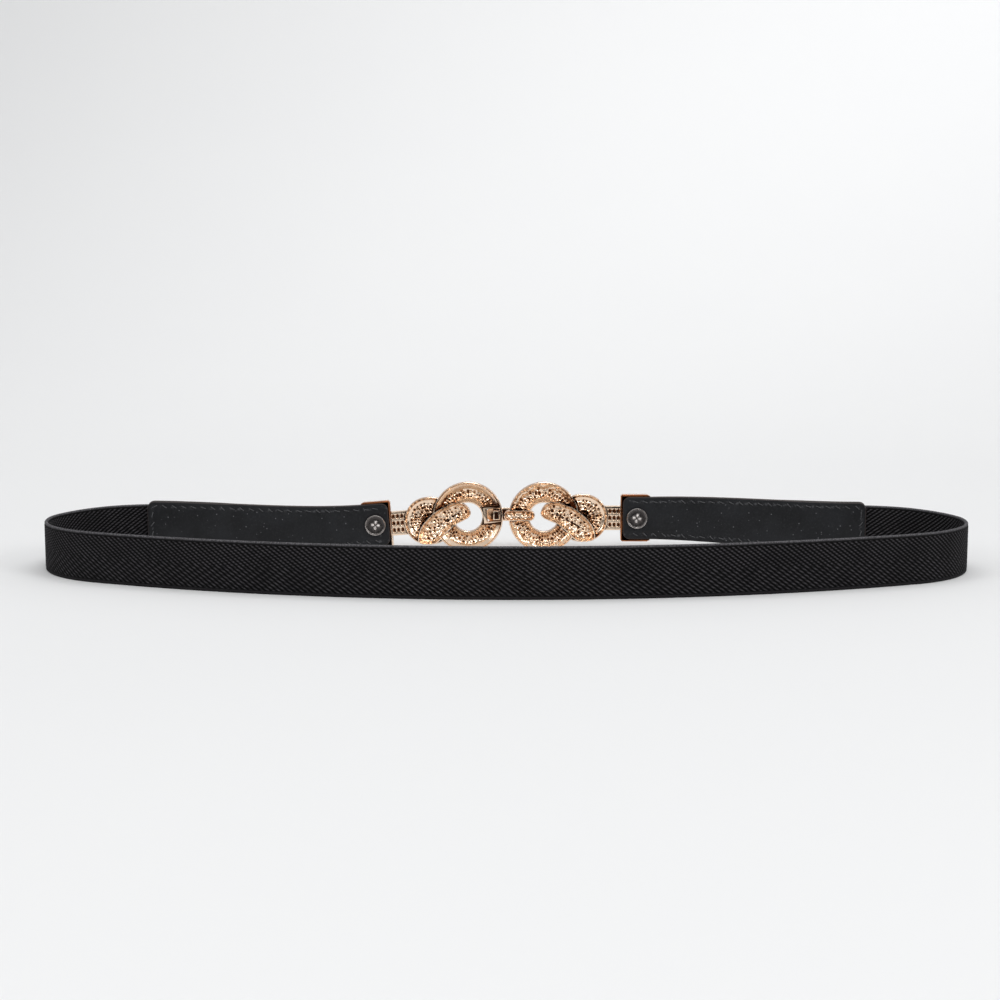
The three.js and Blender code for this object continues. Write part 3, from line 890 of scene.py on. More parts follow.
def stitch_path(side, face, leather, start):
    """The stitch line on a layer's face, as points and the way out of the leather at each."""
    inset = leather.stitch_inset
    turn = 1.2 * MM
    spots = []
    for way in (1, -1):
        stretch = [(run, way * (tab_half_width(run) - inset))
                   for run in np.arange(start, TAB_LENGTH - inset - turn, 0.5 * MM)]
        middle_run = TAB_LENGTH - inset - turn
        middle_up = tab_half_width(middle_run) - inset - turn
        for angle in np.radians(np.arange(0, 91, 15)):
            corner = (middle_run + turn * math.sin(angle), way * (middle_up + turn * math.cos(angle)))
            stretch.append(corner)
        spots.append(stretch)
    end_run = TAB_LENGTH - inset
    end_up = spots[0][-1][1]
    down = [(end_run, up) for up in np.arange(end_up - 0.5 * MM, 0.3 * MM - end_up, -0.5 * MM)]
    points = []
    for run, up in [*spots[0], *down, *reversed(spots[1])]:
        surface = LEATHER_THICKNESS / 2 - pull_in(leather, run, up)
        place, out = on_tab(side, run, up, face * (layer_outside(run) + surface))
        points.append((place, out * face))
    return points


def stitch_tree():
    """Lays slanted strands of thread along a path, from its points' attribute out_way."""
    tree, entry, leave = new_tree("Stitches", {
        "Pitch": ("NodeSocketFloat", 0.0039),
        "Strand": ("NodeSocketFloat", 0.0025),
        "Thread": ("NodeSocketFloat", 0.00042),
        "Slant": ("NodeSocketFloat", 0.4),
        "Material": ("NodeSocketMaterial", None),
    })
    path = add_node(tree, "GeometryNodeMeshToCurve", {"Mesh": entry["Geometry"]}).outputs["Curve"]
    spaced = add_node(
        tree, "GeometryNodeResampleCurve", {"Curve": path, "Length": entry["Pitch"]}, mode="LENGTH"
    ).outputs["Curve"]
    half = calculated(tree, "MULTIPLY", entry["Strand"], 0.5)
    arch = calculated(tree, "MULTIPLY", entry["Thread"], 1.5)
    start = add_node(tree, "ShaderNodeCombineXYZ", {"X": calculated(tree, "MULTIPLY", half, -1.0)})
    middle = add_node(tree, "ShaderNodeCombineXYZ", {"Z": arch})
    end = add_node(tree, "ShaderNodeCombineXYZ", {"X": half})
    line = add_node(tree, "GeometryNodeCurveQuadraticBezier", {
        "Resolution": 8,
        "Start": start.outputs[0],
        "Middle": middle.outputs[0],
        "End": end.outputs[0],
    }).outputs["Curve"]
    round_section = add_node(
        tree, "GeometryNodeCurvePrimitiveCircle",
        {"Resolution": 8, "Radius": calculated(tree, "MULTIPLY", entry["Thread"], 0.5)},
    ).outputs["Curve"]
    strand = add_node(
        tree, "GeometryNodeCurveToMesh",
        {"Curve": line, "Profile Curve": round_section, "Fill Caps": True},
    ).outputs["Mesh"]
    out = add_node(
        tree, "GeometryNodeInputNamedAttribute", {"Name": "out_way"}, data_type="FLOAT_VECTOR"
    ).outputs["Attribute"]
    tangent = tree.nodes.new("GeometryNodeInputTangent").outputs["Tangent"]
    laid = add_node(
        tree, "FunctionNodeAxesToRotation", {"Primary Axis": out, "Secondary Axis": tangent},
        primary_axis="Z", secondary_axis="X",
    ).outputs["Rotation"]
    uneven = add_node(
        tree, "FunctionNodeRandomValue", {"Min": -0.3, "Max": 0.3, "Seed": 3}, data_type="FLOAT"
    )
    value = next(s for s in uneven.outputs if s.enabled)
    slant = calculated(tree, "ADD", entry["Slant"], value)
    twist = add_node(
        tree, "FunctionNodeAxisAngleToRotation", {"Axis": (0, 0, 1), "Angle": slant}
    ).outputs["Rotation"]
    turned_way = add_node(
        tree, "FunctionNodeRotateRotation", {"Rotation": laid, "Rotate By": twist}, rotation_space="LOCAL"
    ).outputs["Rotation"]
    laid_strands = add_node(
        tree, "GeometryNodeInstanceOnPoints",
        {"Points": spaced, "Instance": strand, "Rotation": turned_way},
    ).outputs["Instances"]
    finished_geometry(tree, laid_strands, entry["Material"], leave)
    return tree


def thread_material(leather):
    """Black twisted thread, coloured grey partly for lint and partly as painted glints, its strands lighter and
    darker at random.
    """
    material, tree, shader = new_material("thread")
    place = object_place(tree)
    strands = noise_at(tree, place, 0.3 * MM, 3)
    darker = tuple(0.4 * c for c in leather.thread_colour)
    lit = mixed(tree, ranged(tree, strands, 0.3, 0.7), darker, tuple(leather.thread_colour))
    tree.links.new(lit, shader.inputs["Base Color"])
    tree.links.new(ranged(tree, strands, 0.3, 0.7, 0.35, 0.55), shader.inputs["Roughness"])
    bumped(tree, shader, strands, 0.08 * MM)
    return material


class BELT_OT_make_tabs(bpy.types.Operator):
    """Makes the two layers of leather at each end of the elastic"""

    bl_idname = "belt.make_tabs"
    bl_label = "Make leather tabs"

    def execute(self, context):
        leather = context.scene.belt_leather
        material = leather_material(leather)
        for side in SIDES:
            for face, name in ((-1, "inner"), (1, "outer")):
                layer = layer_sheet(side, face, leather)
                dress(layer, material, f"leather_tab_{side.name}_{name}")
        return {"FINISHED"}


class BELT_OT_make_stitches(bpy.types.Operator):
    """Sews the two layers of each tab together"""

    bl_idname = "belt.make_stitches"
    bl_label = "Make stitches"

    def execute(self, context):
        leather = context.scene.belt_leather
        material = thread_material(leather)
        tree = stitch_tree()
        for side in SIDES:
            for face, start, name in ((-1, 5.5 * MM, "inner"), (1, CAP_LENGTH + 1.5 * MM, "outer")):
                points = stitch_path(side, face, leather, start)
                mesh = bpy.data.meshes.new("stitch_path")
                mesh.from_pydata(
                    [tuple(place) for place, _ in points], [(i, i + 1) for i in range(len(points) - 1)], []
                )
                layer = mesh.attributes.new("out_way", "FLOAT_VECTOR", "POINT")
                layer.data.foreach_set("vector", [c for _, out in points for c in out])
                row = new_object(f"stitches_{side.name}_{name}", mesh)
                grow(row, tree, {
                    "Pitch": leather.stitch_pitch,
                    "Strand": leather.strand,
                    "Thread": leather.thread,
                    "Slant": math.radians(-28),
                    "Material": material,
                })
                dress(row, material)
        return {"FINISHED"}


# Cast clasp. A half is built in its own frame: out from its ring's centre, depth from its back rims, and up.


def scattered(seed, i, j):
    """A steady number from 0 to 1 for a cell of a pattern."""
    value = np.sin(i * 127.1 + j * 311.7 + seed * 74.7) * 43758.5453
    return value - np.floor(value)


def dents(x, y, pitch, seed, jitter=0.7, size=0.62):
    """Depths from 0 to 1 of round dents of uneven depth, scattered over two arrays of places."""
    x = np.asarray(x) / pitch
    y = np.asarray(y) / pitch
    deepest = np.zeros(np.broadcast(x, y).shape)
    for step_x in (-1, 0, 1):
        for step_y in (-1, 0, 1):
            i = np.floor(x) + step_x
            j = np.floor(y) + step_y
            centre_x = i + 0.5 + jitter * (scattered(seed, i, j) - 0.5)
            centre_y = j + 0.5 + jitter * (scattered(seed + 1, i, j) - 0.5)
            away = np.hypot(x - centre_x, y - centre_y) / size
            depth = (0.45 + 0.55 * scattered(seed + 2, i, j)) * np.clip(1 - away**2, 0, None)
            deepest = np.maximum(deepest, depth)
    return deepest


def evenly_spaced(outline, count):
    """A closed outline's points, spaced evenly along it."""
    fine = np.array([*outline, outline[0]])
    lengths = np.concatenate([[0], np.cumsum(np.linalg.norm(np.diff(fine, axis=0), axis=1))])
    at = np.linspace(0, lengths[-1], count, endpoint=False)
    return np.stack([np.interp(at, lengths, fine[:, k]) for k in (0, 1)], axis=1)


def closed_curve(points, count):
    """Evenly spaced points on a smooth closed curve through the given ones."""
    points = np.asarray(points, float)
    fine = []
    total = len(points)
    for k in range(total):
        p0, p1, p2, p3 = (points[(k + i - 1) % total] for i in range(4))
        d0, d1, d2 = (math.sqrt(np.linalg.norm(b - a)) for a, b in ((p0, p1), (p1, p2), (p2, p3)))
        m1 = ((p1 - p0) / d0 - (p2 - p0) / (d0 + d1) + (p2 - p1) / d1) * d1
        m2 = ((p2 - p1) / d1 - (p3 - p1) / (d1 + d2) + (p3 - p2) / d2) * d1
        for t in np.linspace(0, 1, 24, endpoint=False):
            cube = t**3
            square = t**2
            fine.append(
                (2 * cube - 3 * square + 1) * p1 + (cube - 2 * square + t) * m1
                + (3 * square - 2 * cube) * p2 + (cube - square) * m2
            )
    return evenly_spaced(np.array(fine), count)


def drawn_in(outline, spine, inset, share_in):
    """An outline drawn in towards its spine, by a distance and then by a share of what is left."""
    start, end = (np.array(p) for p in spine)
    line = end - start
    size = float(line @ line)
    if size:
        at = np.clip(((outline - start) @ line) / size, 0, 1)[:, None]
    else:
        at = np.zeros((len(outline), 1))
    nearest = start + at * line
    away = outline - nearest
    reach = np.linalg.norm(away, axis=1)[:, None]
    left = np.clip(reach - inset, 0.02 * MM, None) * (1 - share_in)
    return nearest + away / reach * left


class Boss:
    """A raised form of the casting: its outline and spine as out and up, and its height."""

    def __init__(self, outline, spine, crown):
        self.outline = outline
        self.spine = spine
        self.crown = crown


def at_depth(flat, depths):
    """Flat points of out and up, set at one depth or at a depth each."""
    return np.stack([flat[:, 0], np.broadcast_to(depths, len(flat)), flat[:, 1]], axis=1)


BOSS_EDGE = 0.36 * MM
DOME_ROWS = 18


def domed(name, boss, casting, seed=5, edge=BOSS_EDGE):
    """A boss with a rounded back edge, upright sides and a hammered dome."""
    loops = [
        at_depth(drawn_in(boss.outline, boss.spine, edge, 0), 0),
        at_depth(drawn_in(boss.outline, boss.spine, edge * 0.3, 0), edge * 0.35),
        at_depth(boss.outline, edge),
    ]
    for at in np.linspace(0, 1, DOME_ROWS):
        flat = drawn_in(boss.outline, boss.spine, 0, 0.985 * at)
        swell = 0.42 + 0.58 * math.sin(math.pi / 2 * min(1.0, at / 0.72)) ** 0.75
        marks = dents(flat[:, 0], flat[:, 1], casting.hammer_pitch, seed, size=0.8)
        depths = boss.crown * swell - casting.hammer_depth * marks * min(1.0, 3 * at)
        loops.append(at_depth(flat, depths))
    return skinned(name, loops)


def footprint(name, boss):
    return prism(name, boss.outline, -boss.crown, boss.crown)


POCKET_RIM = 0.4 * MM


def pocketed(name, boss, slope, depth, dent_map, rim=POCKET_RIM, crown=0.25, rows=22):
    """The hollow of a boss: a sloping wall inside its rim, and a dented floor that deepens to its middle."""
    loops = [
        at_depth(drawn_in(boss.outline, boss.spine, rim, 0), -CUT_PAST),
        at_depth(drawn_in(boss.outline, boss.spine, rim, 0), 0),
    ]
    for at in (0.35, 0.7, 1.0):
        flat = drawn_in(boss.outline, boss.spine, rim + slope * at, 0)
        loops.append(at_depth(flat, depth * (1 - crown) * math.sin(at * math.pi / 2) ** 1.2))
    for at in np.linspace(0, 1, rows)[1:]:
        flat = drawn_in(boss.outline, boss.spine, rim + slope, 0.985 * at)
        floor = depth * (1 - crown + crown * math.sin(at * math.pi / 2))
        loops.append(at_depth(flat, floor + dent_map(flat) * min(1.0, 6 * at)))
    return skinned(name, loops)


# The tapering head that crosses each ring, as shares of the ring's radius out from and above its centre
HEAD_OUTLINE = [
    (-0.09, 0.085), (-0.013, 0.3), (0.156, 0.416), (0.39, 0.43), (0.65, 0.34), (0.91, 0.22),
    (1.117, 0.058), (1.305, -0.136), (1.43, -0.364), (1.448, -0.63), (1.234, -0.7), (0.987, -0.69),
    (0.818, -0.584), (0.714, -0.468), (0.52, -0.305), (0.364, -0.195), (0.149, -0.104), (-0.013, -0.026),
]
HEAD_SPINE = [(0.2, 0.15), (1.15, -0.38)]


def head_boss(side):
    mirror = np.array([side.sign, 1])
    outline = closed_curve(np.array(HEAD_OUTLINE) * RING_RADIUS * mirror, 150)
    return Boss(outline, np.array(HEAD_SPINE) * RING_RADIUS * mirror, HEAD_CROWN)


def rounded_boss(side, start, end, radius, up, crown, points=96):
    """A boss with round ends about a level line from one out to another."""
    angles = (np.arange(points) + 0.5) / points * 2 * math.pi - math.pi / 2
    outs = np.where(np.arange(points) < points / 2, end, start) + radius * np.cos(angles)
    outline = np.stack([side.sign * outs, up + radius * np.sin(angles)], axis=1)
    spine = [(side.sign * start, up), (side.sign * end, up)]
    return Boss(evenly_spaced(outline, points), spine, crown)


def ring_body(casting):
    """The ring: a round back edge on both sides, and a face that swells between them."""
    edge = BOSS_EDGE
    low = RING_DEPTH / 2
    shares = np.linspace(0, 1, 19)[1:-1]
    face = [(HOLE_RADIUS + edge, 0), (HOLE_RADIUS + edge * 0.3, edge * 0.35), (HOLE_RADIUS, edge)]
    face.append((HOLE_RADIUS, low))
    for at in shares:
        swell = math.sqrt(math.sin(math.pi * at))
        face.append((between(HOLE_RADIUS, RING_RADIUS, at), between(low, RING_DEPTH, swell)))
    face.append((RING_RADIUS, low))
    face += [(RING_RADIUS, edge), (RING_RADIUS - edge * 0.3, edge * 0.35), (RING_RADIUS - edge, 0)]
    face = np.array(face)
    segments = 216
    angles = np.linspace(0, 2 * math.pi, segments, endpoint=False)[:, None]
    radii = np.broadcast_to(face[:, 0], (segments, len(face)))
    marks = dents(radii * np.cos(angles), radii * np.sin(angles), casting.hammer_pitch, 8, size=0.8)
    on_dome = (face[:, 1] > low * 1.05).astype(float)
    depths = face[:, 1] - casting.hammer_depth * marks * on_dome
    return turned("ring", radii, depths, segments)


# The channel in the ring's back, from its inner rim to its outer one: share across, share of its depth
CHANNEL = [
    (0, 0), (0.02, 0.12), (0.07, 0.3), (0.14, 0.55), (0.22, 0.78), (0.33, 0.95), (0.46, 1), (0.58, 0.95),
    (0.68, 0.82), (0.78, 0.62), (0.88, 0.42), (0.95, 0.28), (0.985, 0.18), (1, 0),
]
CHANNEL_DEPTH = 3.0 * MM


def channel_cutter(casting, seed, dented_to):
    """What is cut out of the ring's back: a channel with a wide outer slope, dented to a share across it."""
    rim_in = HOLE_RADIUS + 0.55 * MM
    rim_out = RING_RADIUS - 0.5 * MM
    across = np.linspace(0, 1, 40)
    table = np.array(CHANNEL)
    depth = CHANNEL_DEPTH * np.interp(across, table[:, 0], table[:, 1])
    radius = between(rim_in, rim_out, across)
    radius = np.concatenate([[rim_in], radius, [rim_out]])
    depth = np.concatenate([[-CUT_PAST], depth, [-CUT_PAST]])
    across = np.concatenate([[0], across, [1]])
    segments = 440
    angles = np.linspace(0, 2 * math.pi, segments, endpoint=False)[:, None]
    middle = (HOLE_RADIUS + RING_RADIUS) / 2
    rows = dents(angles * middle * 1.15, radius * 0.85, casting.dent_pitch, seed)
    fade = np.clip((across - 0.15) / 0.1, 0, 1) * np.clip((dented_to - across) / 0.2, 0, 1)
    radii = np.broadcast_to(radius, (segments, len(radius)))
    return turned("channel", radii, depth + casting.dent_depth * rows * fade, segments)


def neck_body(side):
    """The flat neck between the lobe and the cap, with eased edges."""
    ease = 0.25 * MM
    half = NECK_WIDTH / 2
    section = [
        (NECK_BACK, half - ease), (NECK_BACK + ease, half), (NECK_DEPTH - ease, half), (NECK_DEPTH, half - ease),
        *[(NECK_DEPTH, up) for up in np.linspace(half - ease, ease - half, 9)[1:-1]],
        (NECK_DEPTH, ease - half), (NECK_DEPTH - ease, -half), (NECK_BACK + ease, -half), (NECK_BACK, ease - half),
    ]
    outs = np.linspace(LOBE_OUT, CAP_OUT + CAP_WALL, 41)
    return skinned("neck", [[(side.sign * out, d, u - SHANK_DROP) for d, u in section] for out in outs])


def neck_cutter(side):
    """The neck's hollow back: three rows of three square dents."""
    cells = 3
    outs = np.linspace(LOBE_OUT, CAP_OUT, 61)
    half = NECK_WIDTH / 2 - 0.8 * MM
    ups = np.linspace(-half, half, 43)
    visible = LOBE_OUT + LOBE_RADIUS
    pitch_out = (CAP_OUT - visible) / cells
    pitch_up = 2 * half / cells
    grid_out, grid_up = np.meshgrid(outs, ups, indexing="ij")
    wave_out = np.abs(np.sin(math.pi * (grid_out - visible) / pitch_out))
    wave_up = np.abs(np.sin(math.pi * (grid_up + half) / pitch_up))
    dent = np.clip((np.minimum(wave_out, wave_up) - 0.45) / 0.55, 0, 1)
    depths = NECK_BACK + 0.08 * MM + 0.75 * MM * dent
    loops = []
    for c, out in enumerate(outs):
        top = [(side.sign * out, d, u - SHANK_DROP) for d, u in zip(depths[c], ups)]
        base = [(side.sign * out, -CUT_PAST, u - SHANK_DROP) for u in (half, -half)]
        loops.append([*top, *base])
    return skinned("neck_hollow", loops)


def cap_body(side):
    """The tray round the end of the tab, with its walls' edges eased."""
    half = TAB_WIDTH_AT_CLASP / 2 + GAP + CAP_WALL
    end = CAP_OUT + CAP_LENGTH
    corners = [
        (CAP_OUT + CAP_WALL, -half), (end - CAP_CHAMFER, -half), (end, CAP_WALL - half),
        (end, half - CAP_WALL), (end - CAP_CHAMFER, half), (CAP_OUT + CAP_WALL, half),
        (CAP_OUT, half - CAP_WALL), (CAP_OUT, CAP_WALL - half),
    ]
    outline = [(side.sign * out, up - SHANK_DROP) for out, up in corners]
    tray = prism("cap", outline, CAP_WALL_BACK, CAST_FACE)
    inner = (side.sign * (CAP_OUT + CAP_WALL), -CUT_PAST, CAP_WALL - half - SHANK_DROP)
    outer = (side.sign * (end + CUT_PAST), CAST_FACE - CAP_FLOOR, half - CAP_WALL - SHANK_DROP)
    cut_from(tray, block("cap_hollow", inner, outer))
    eased_edges = tray.modifiers.new("Edges", "BEVEL")
    eased_edges.width = 0.22 * MM
    eased_edges.segments = 2
    eased_edges.limit_method = "ANGLE"
    settle(tray)
    return tray


def half_body(side, casting, crossing):
    """One half of the clasp, with what crosses its ring: a body, the space that it keeps, and cuts."""
    head = head_boss(side)
    lobe = rounded_boss(side, LOBE_OUT - WINDOW_EDGE, LOBE_OUT, LOBE_RADIUS, -SHANK_DROP, LOBE_DEPTH)

    def head_dents(flat):
        return casting.dent_depth * dents(flat[:, 0], flat[:, 1], casting.dent_pitch, 21 + side.sign)

    def lobe_rows(flat):
        away = flat - np.array([side.sign * LOBE_OUT, -SHANK_DROP])
        radius = np.hypot(away[:, 0], away[:, 1])
        along = np.arctan2(away[:, 1], side.sign * away[:, 0]) * LOBE_RADIUS * 0.75
        found = dents(along, radius, 1.7 * MM, 31 + side.sign, jitter=0.35, size=0.6)
        ridge = 0.5 * np.cos(2 * math.pi * radius / (3.4 * MM))
        return casting.dent_depth * 1.15 * found - 0.35 * MM * ridge

    channel = channel_cutter(casting, 11 + side.sign, crossing["dented_to"])
    cut_from(channel, footprint("head_print", head), *crossing["keep"]())
    lobe_hollow = pocketed("lobe_hollow", lobe, 1.1 * MM, 2.3 * MM, lobe_rows, rows=34)
    ring_disc = prism("ring_disc", rounded_boss(side, 0, 0, RING_RADIUS, 0, 1, 180).outline, -0.01, RING_DEPTH)
    cut_from(lobe_hollow, footprint("head_print", head), ring_disc)
    neck_hollow = cut_from(neck_cutter(side), footprint("lobe_print", lobe))
    body = ring_body(casting)
    join_on(
        body,
        domed("head", head, casting),
        domed("lobe", lobe, casting, 6),
        neck_body(side),
        *crossing["body"](),
    )
    head_hollow = pocketed("head_hollow", head, 1.15 * MM, 3.0 * MM, head_dents, rows=30)
    cut_from(body, channel, lobe_hollow, neck_hollow, head_hollow, *crossing["cuts"]())
    return join_on(body, cap_body(side))


WINDOW_OUTER = -(RING_RADIUS - WINDOW_EDGE)
WINDOW_INNER = WINDOW_OUTER + WINDOW_WIDTH


def catch_crossing(side):
    """The window in the ring that the tongue drops into, in a frame on a lower platform across the channel."""

    def kept(name, inner, back, half):
        low = (side.sign * -RING_RADIUS, back, -half)
        high = (side.sign * inner, RING_DEPTH, half)
        return block(name, low, high, 0.18 * MM)

    def keep():
        platform = kept("platform", -HOLE_RADIUS / 2, 0.3 * MM, 4.2 * MM)
        frame = kept("frame", -HOLE_RADIUS - 0.5 * MM, 0.12 * MM, WINDOW_HEIGHT / 2 + 0.65 * MM)
        return [platform, frame]

    def cuts():
        low = (side.sign * WINDOW_OUTER, -CUT_PAST, -WINDOW_HEIGHT / 2)
        high = (side.sign * WINDOW_INNER, RING_DEPTH + CUT_PAST, WINDOW_HEIGHT / 2)
        return [block("window", low, high)]

    return {"body": lambda: [], "keep": keep, "cuts": cuts, "dented_to": 0.76}


def hook_crossing(side, casting):
    """The bar across the ring, the plate on both rings' faces, and the tongue behind the other ring."""
    plate_back = RING_DEPTH + GAP
    radius = HOOK_WIDTH / 2
    bar_end = -(RING_RADIUS + RING_GAP - GAP)
    bar = rounded_boss(side, bar_end + radius, -HOOK_NOSE - radius, radius, HOOK_RAISE, plate_back + PLATE_THICKNESS)
    across_gap = -2 * RING_CENTRE
    round_end = PLATE_WIDTH / 2
    plate_ends = (across_gap - WINDOW_INNER - PLATE_PAST + round_end, bar_end + round_end)
    plate = rounded_boss(side, *plate_ends, round_end, HOOK_RAISE, PLATE_THICKNESS)
    tongue_outer = across_gap - WINDOW_OUTER - GAP
    tongue_inner = tongue_outer - TONGUE_THICKNESS

    def bodies():
        made_plate = domed("plate", plate, casting, edge=0.1 * MM)
        made_plate.data.transform(Matrix.Translation((0, plate_back, 0)))
        low = (side.sign * tongue_inner, TONGUE_BACK, HOOK_RAISE - TONGUE_WIDTH / 2)
        high = (side.sign * tongue_outer, plate_back + PLATE_THICKNESS / 2, HOOK_RAISE + TONGUE_WIDTH / 2)
        return [domed("bar", bar, casting), made_plate, block("tongue", low, high, 0.16 * MM)]

    def bar_dents(flat):
        return 0.8 * MM * dents(side.sign * flat[:, 0], flat[:, 1] * 0.6, 2.0 * MM, 3, jitter=0.2, size=0.55)

    def cuts():
        wall = 0.45 * MM
        low = (side.sign * (tongue_inner + wall), -CUT_PAST, HOOK_RAISE - TONGUE_WIDTH / 2 + wall)
        high = (side.sign * (tongue_outer - wall), TONGUE_BACK + 1.4 * MM, HOOK_RAISE + TONGUE_WIDTH / 2 - wall)
        return [pocketed("bar_hollow", bar, 0.5 * MM, 1.3 * MM, bar_dents), block("tongue_dent", low, high)]

    return {"body": bodies, "keep": lambda: [footprint("bar_print", bar)], "cuts": cuts, "dented_to": 0.97}


def in_belt(side):
    """The place of a clasp half's frame in the belt."""
    turn = Matrix.Rotation(side.sign * side.droop, 4, "Y")
    return Matrix.Translation((side.sign * RING_CENTRE, BACK_RIMS_Y, RING_RADIUS)) @ turn


def mark_painted_rim_reflection(body):
    """Stores, from 0 to 1, where the rims of the casting's back round over and the cap's wall ends: the mask of the
    painted reflection there.
    """
    cap_start = RING_CENTRE + CAP_OUT
    values = []
    for vertex in body.data.vertices:
        depth = vertex.co.y - BACK_RIMS_Y
        turned_away = 1 - eased(-vertex.normal.y, 0.35, 0.9)
        on_cap = eased(abs(vertex.co.x), cap_start - 0.1 * MM, cap_start + 0.1 * MM)
        rounded = turned_away * (1 - eased(depth, 0.35 * MM, 0.6 * MM))
        values.append(max(rounded, on_cap * (1 - eased(depth, 1.0 * MM, 1.8 * MM))))
    store_values(body, "painted_rim_reflection", values)


def rose_gold(casting):
    """Bright rose-gold plating with painted shade and painted reflection: browner where it is closed in, nearly
    black in its dents, and brown round the rims' edges.
    """
    material, tree, shader = new_material("rose_gold_plating")
    place = object_place(tree)
    recess = attribute(tree, "recess")
    cloud = noise_at(tree, place, 3 * MM, 3)
    fine = noise_at(tree, place, 0.35 * MM, 2)
    # Painted shade: browner where the surface is closed in, near black where it is most closed in and in the dents.
    tone = mixed(tree, ranged(tree, recess, 0.14, 0.42), tuple(casting.bright), tuple(casting.recess))
    tone = mixed(tree, ranged(tree, recess, 0.42, 0.6), tone, tuple(casting.deep))
    tone = mixed(tree, ranged(tree, attribute(tree, "dent"), 0.09, 0.24), tone, tuple(casting.deep))
    # Painted reflection: a brown line round the rims' rounded edges and the cap's wall ends.
    tone = mixed(tree, ranged(tree, attribute(tree, "painted_rim_reflection"), 0.2, 0.9), tone, tuple(casting.outline))
    tree.links.new(tone, shader.inputs["Base Color"])
    shader.inputs["Metallic"].default_value = 1
    tree.links.new(ranged(tree, cloud, 0.3, 0.7, 0.1, 0.24), shader.inputs["Roughness"])
    bumped(tree, shader, fine, 0.03 * MM, 0.6)
    return material


class BELT_OT_make_clasp(bpy.types.Operator):
    """Makes the two halves of the cast clasp"""

    bl_idname = "belt.make_clasp"
    bl_label = "Make clasp"

    def execute(self, context):
        casting = context.scene.belt_casting
        material = rose_gold(casting)
        halves = {}
        for side in SIDES:
            crossing = catch_crossing(side) if side is CATCH_SIDE else hook_crossing(side, casting)
            halves[side] = half_body(side, casting, crossing)
            halves[side].name = f"casting_{side.name}"
            halves[side].data.transform(in_belt(side))
        tree = ray_tree(*halves.values())
        for side, body in halves.items():
            # The recess and dent measures are the masks of the painted shade in the plating.
            measure_recess(body, tree, {"recess": 2.4 * MM, "dent": 0.9 * MM})
            mark_painted_rim_reflection(body)
            dress(body, material, f"buckle_half_{side.name}", math.radians(38))
        return {"FINISHED"}


# Rivets

# From the middle of the head over its rim to the leather: share of the head's radius, share of its depth
RIVET_HEAD = [
    (0, 0.3), (0.05, 0.34), (0.1, 0.66), (0.16, 0.9), (0.22, 0.95), (0.3, 0.92), (0.36, 0.78), (0.42, 0.5),
    (0.5, 0.3), (0.65, 0.31), (0.8, 0.36), (0.89, 0.46), (0.925, 0.72), (0.945, 0.94), (0.965, 1),
    (0.985, 0.9), (1, 0.6), (1, 0.2), (0.96, 0),
]
RIVET_STAR = (0.06, 0.46)
RIVET_POST = 1.5 * MM
RIVET_FACE = 3 * MM
RIVET_FACE_DEPTH = 0.7 * MM


def rivet_body(rivet):
    """A dished head whose middle spreads in petals, its post, and the round end on the clasp's face."""
    head = np.array(RIVET_HEAD) * (rivet.head_radius, -rivet.head_depth) + (0, -GAP)
    face_back = CAST_FACE + GAP
    rest = [
        (RIVET_POST, -GAP), (RIVET_POST, face_back), (RIVET_FACE, face_back),
        (RIVET_FACE, face_back + 0.35 * MM), (RIVET_FACE * 0.93, face_back + 0.55 * MM),
        (RIVET_FACE * 0.7, face_back + RIVET_FACE_DEPTH), (0, face_back + RIVET_FACE_DEPTH),
    ]
    profile = np.array([*head, *rest])
    segments = 120
    angles = np.linspace(0, 2 * math.pi, segments, endpoint=False)[:, None]
    radii = np.broadcast_to(profile[:, 0], (segments, len(profile))).copy()
    at = profile[:, 0] / rivet.head_radius
    in_star = (at > RIVET_STAR[0]) & (at < RIVET_STAR[1]) & (profile[:, 1] < 0)
    petal = 0.5 + 0.5 * np.cos(rivet.petals * angles)
    floor = -GAP - 0.3 * rivet.head_depth
    depths = np.broadcast_to(profile[:, 1], radii.shape).copy()
    depths[:, in_star] = floor + (depths[:, in_star] - floor) * (0.2 + 0.8 * petal)
    radii[:, in_star] *= 0.8 + 0.3 * petal
    loops = np.stack([radii * np.cos(angles), depths, radii * np.sin(angles)], axis=2)
    body = skinned("rivet", loops, joined=True)
    shape = bmesh.new()
    shape.from_mesh(body.data)
    bmesh.ops.remove_doubles(shape, verts=shape.verts, dist=0.001 * MM)
    bmesh.ops.recalc_face_normals(shape, faces=shape.faces)
    shape.to_mesh(body.data)
    shape.free()
    return body


def rivet_steel(rivet):
    """Dark nickel plating, with painted shade in the dish of the head; the rim and the petals keep the plating's
    colour.
    """
    material, tree, shader = new_material("rivet_steel")
    place = object_place(tree)
    smear = noise_at(tree, place, 1.2 * MM, 3)
    tone = mixed(tree, attribute(tree, "dish"), tuple(rivet.steel), tuple(rivet.dish_shade))
    tree.links.new(tone, shader.inputs["Base Color"])
    shader.inputs["Metallic"].default_value = 1
    tree.links.new(ranged(tree, smear, 0.3, 0.7, 0.22, 0.4), shader.inputs["Roughness"])
    bumped(tree, shader, smear, 0.03 * MM, 0.5)
    return material


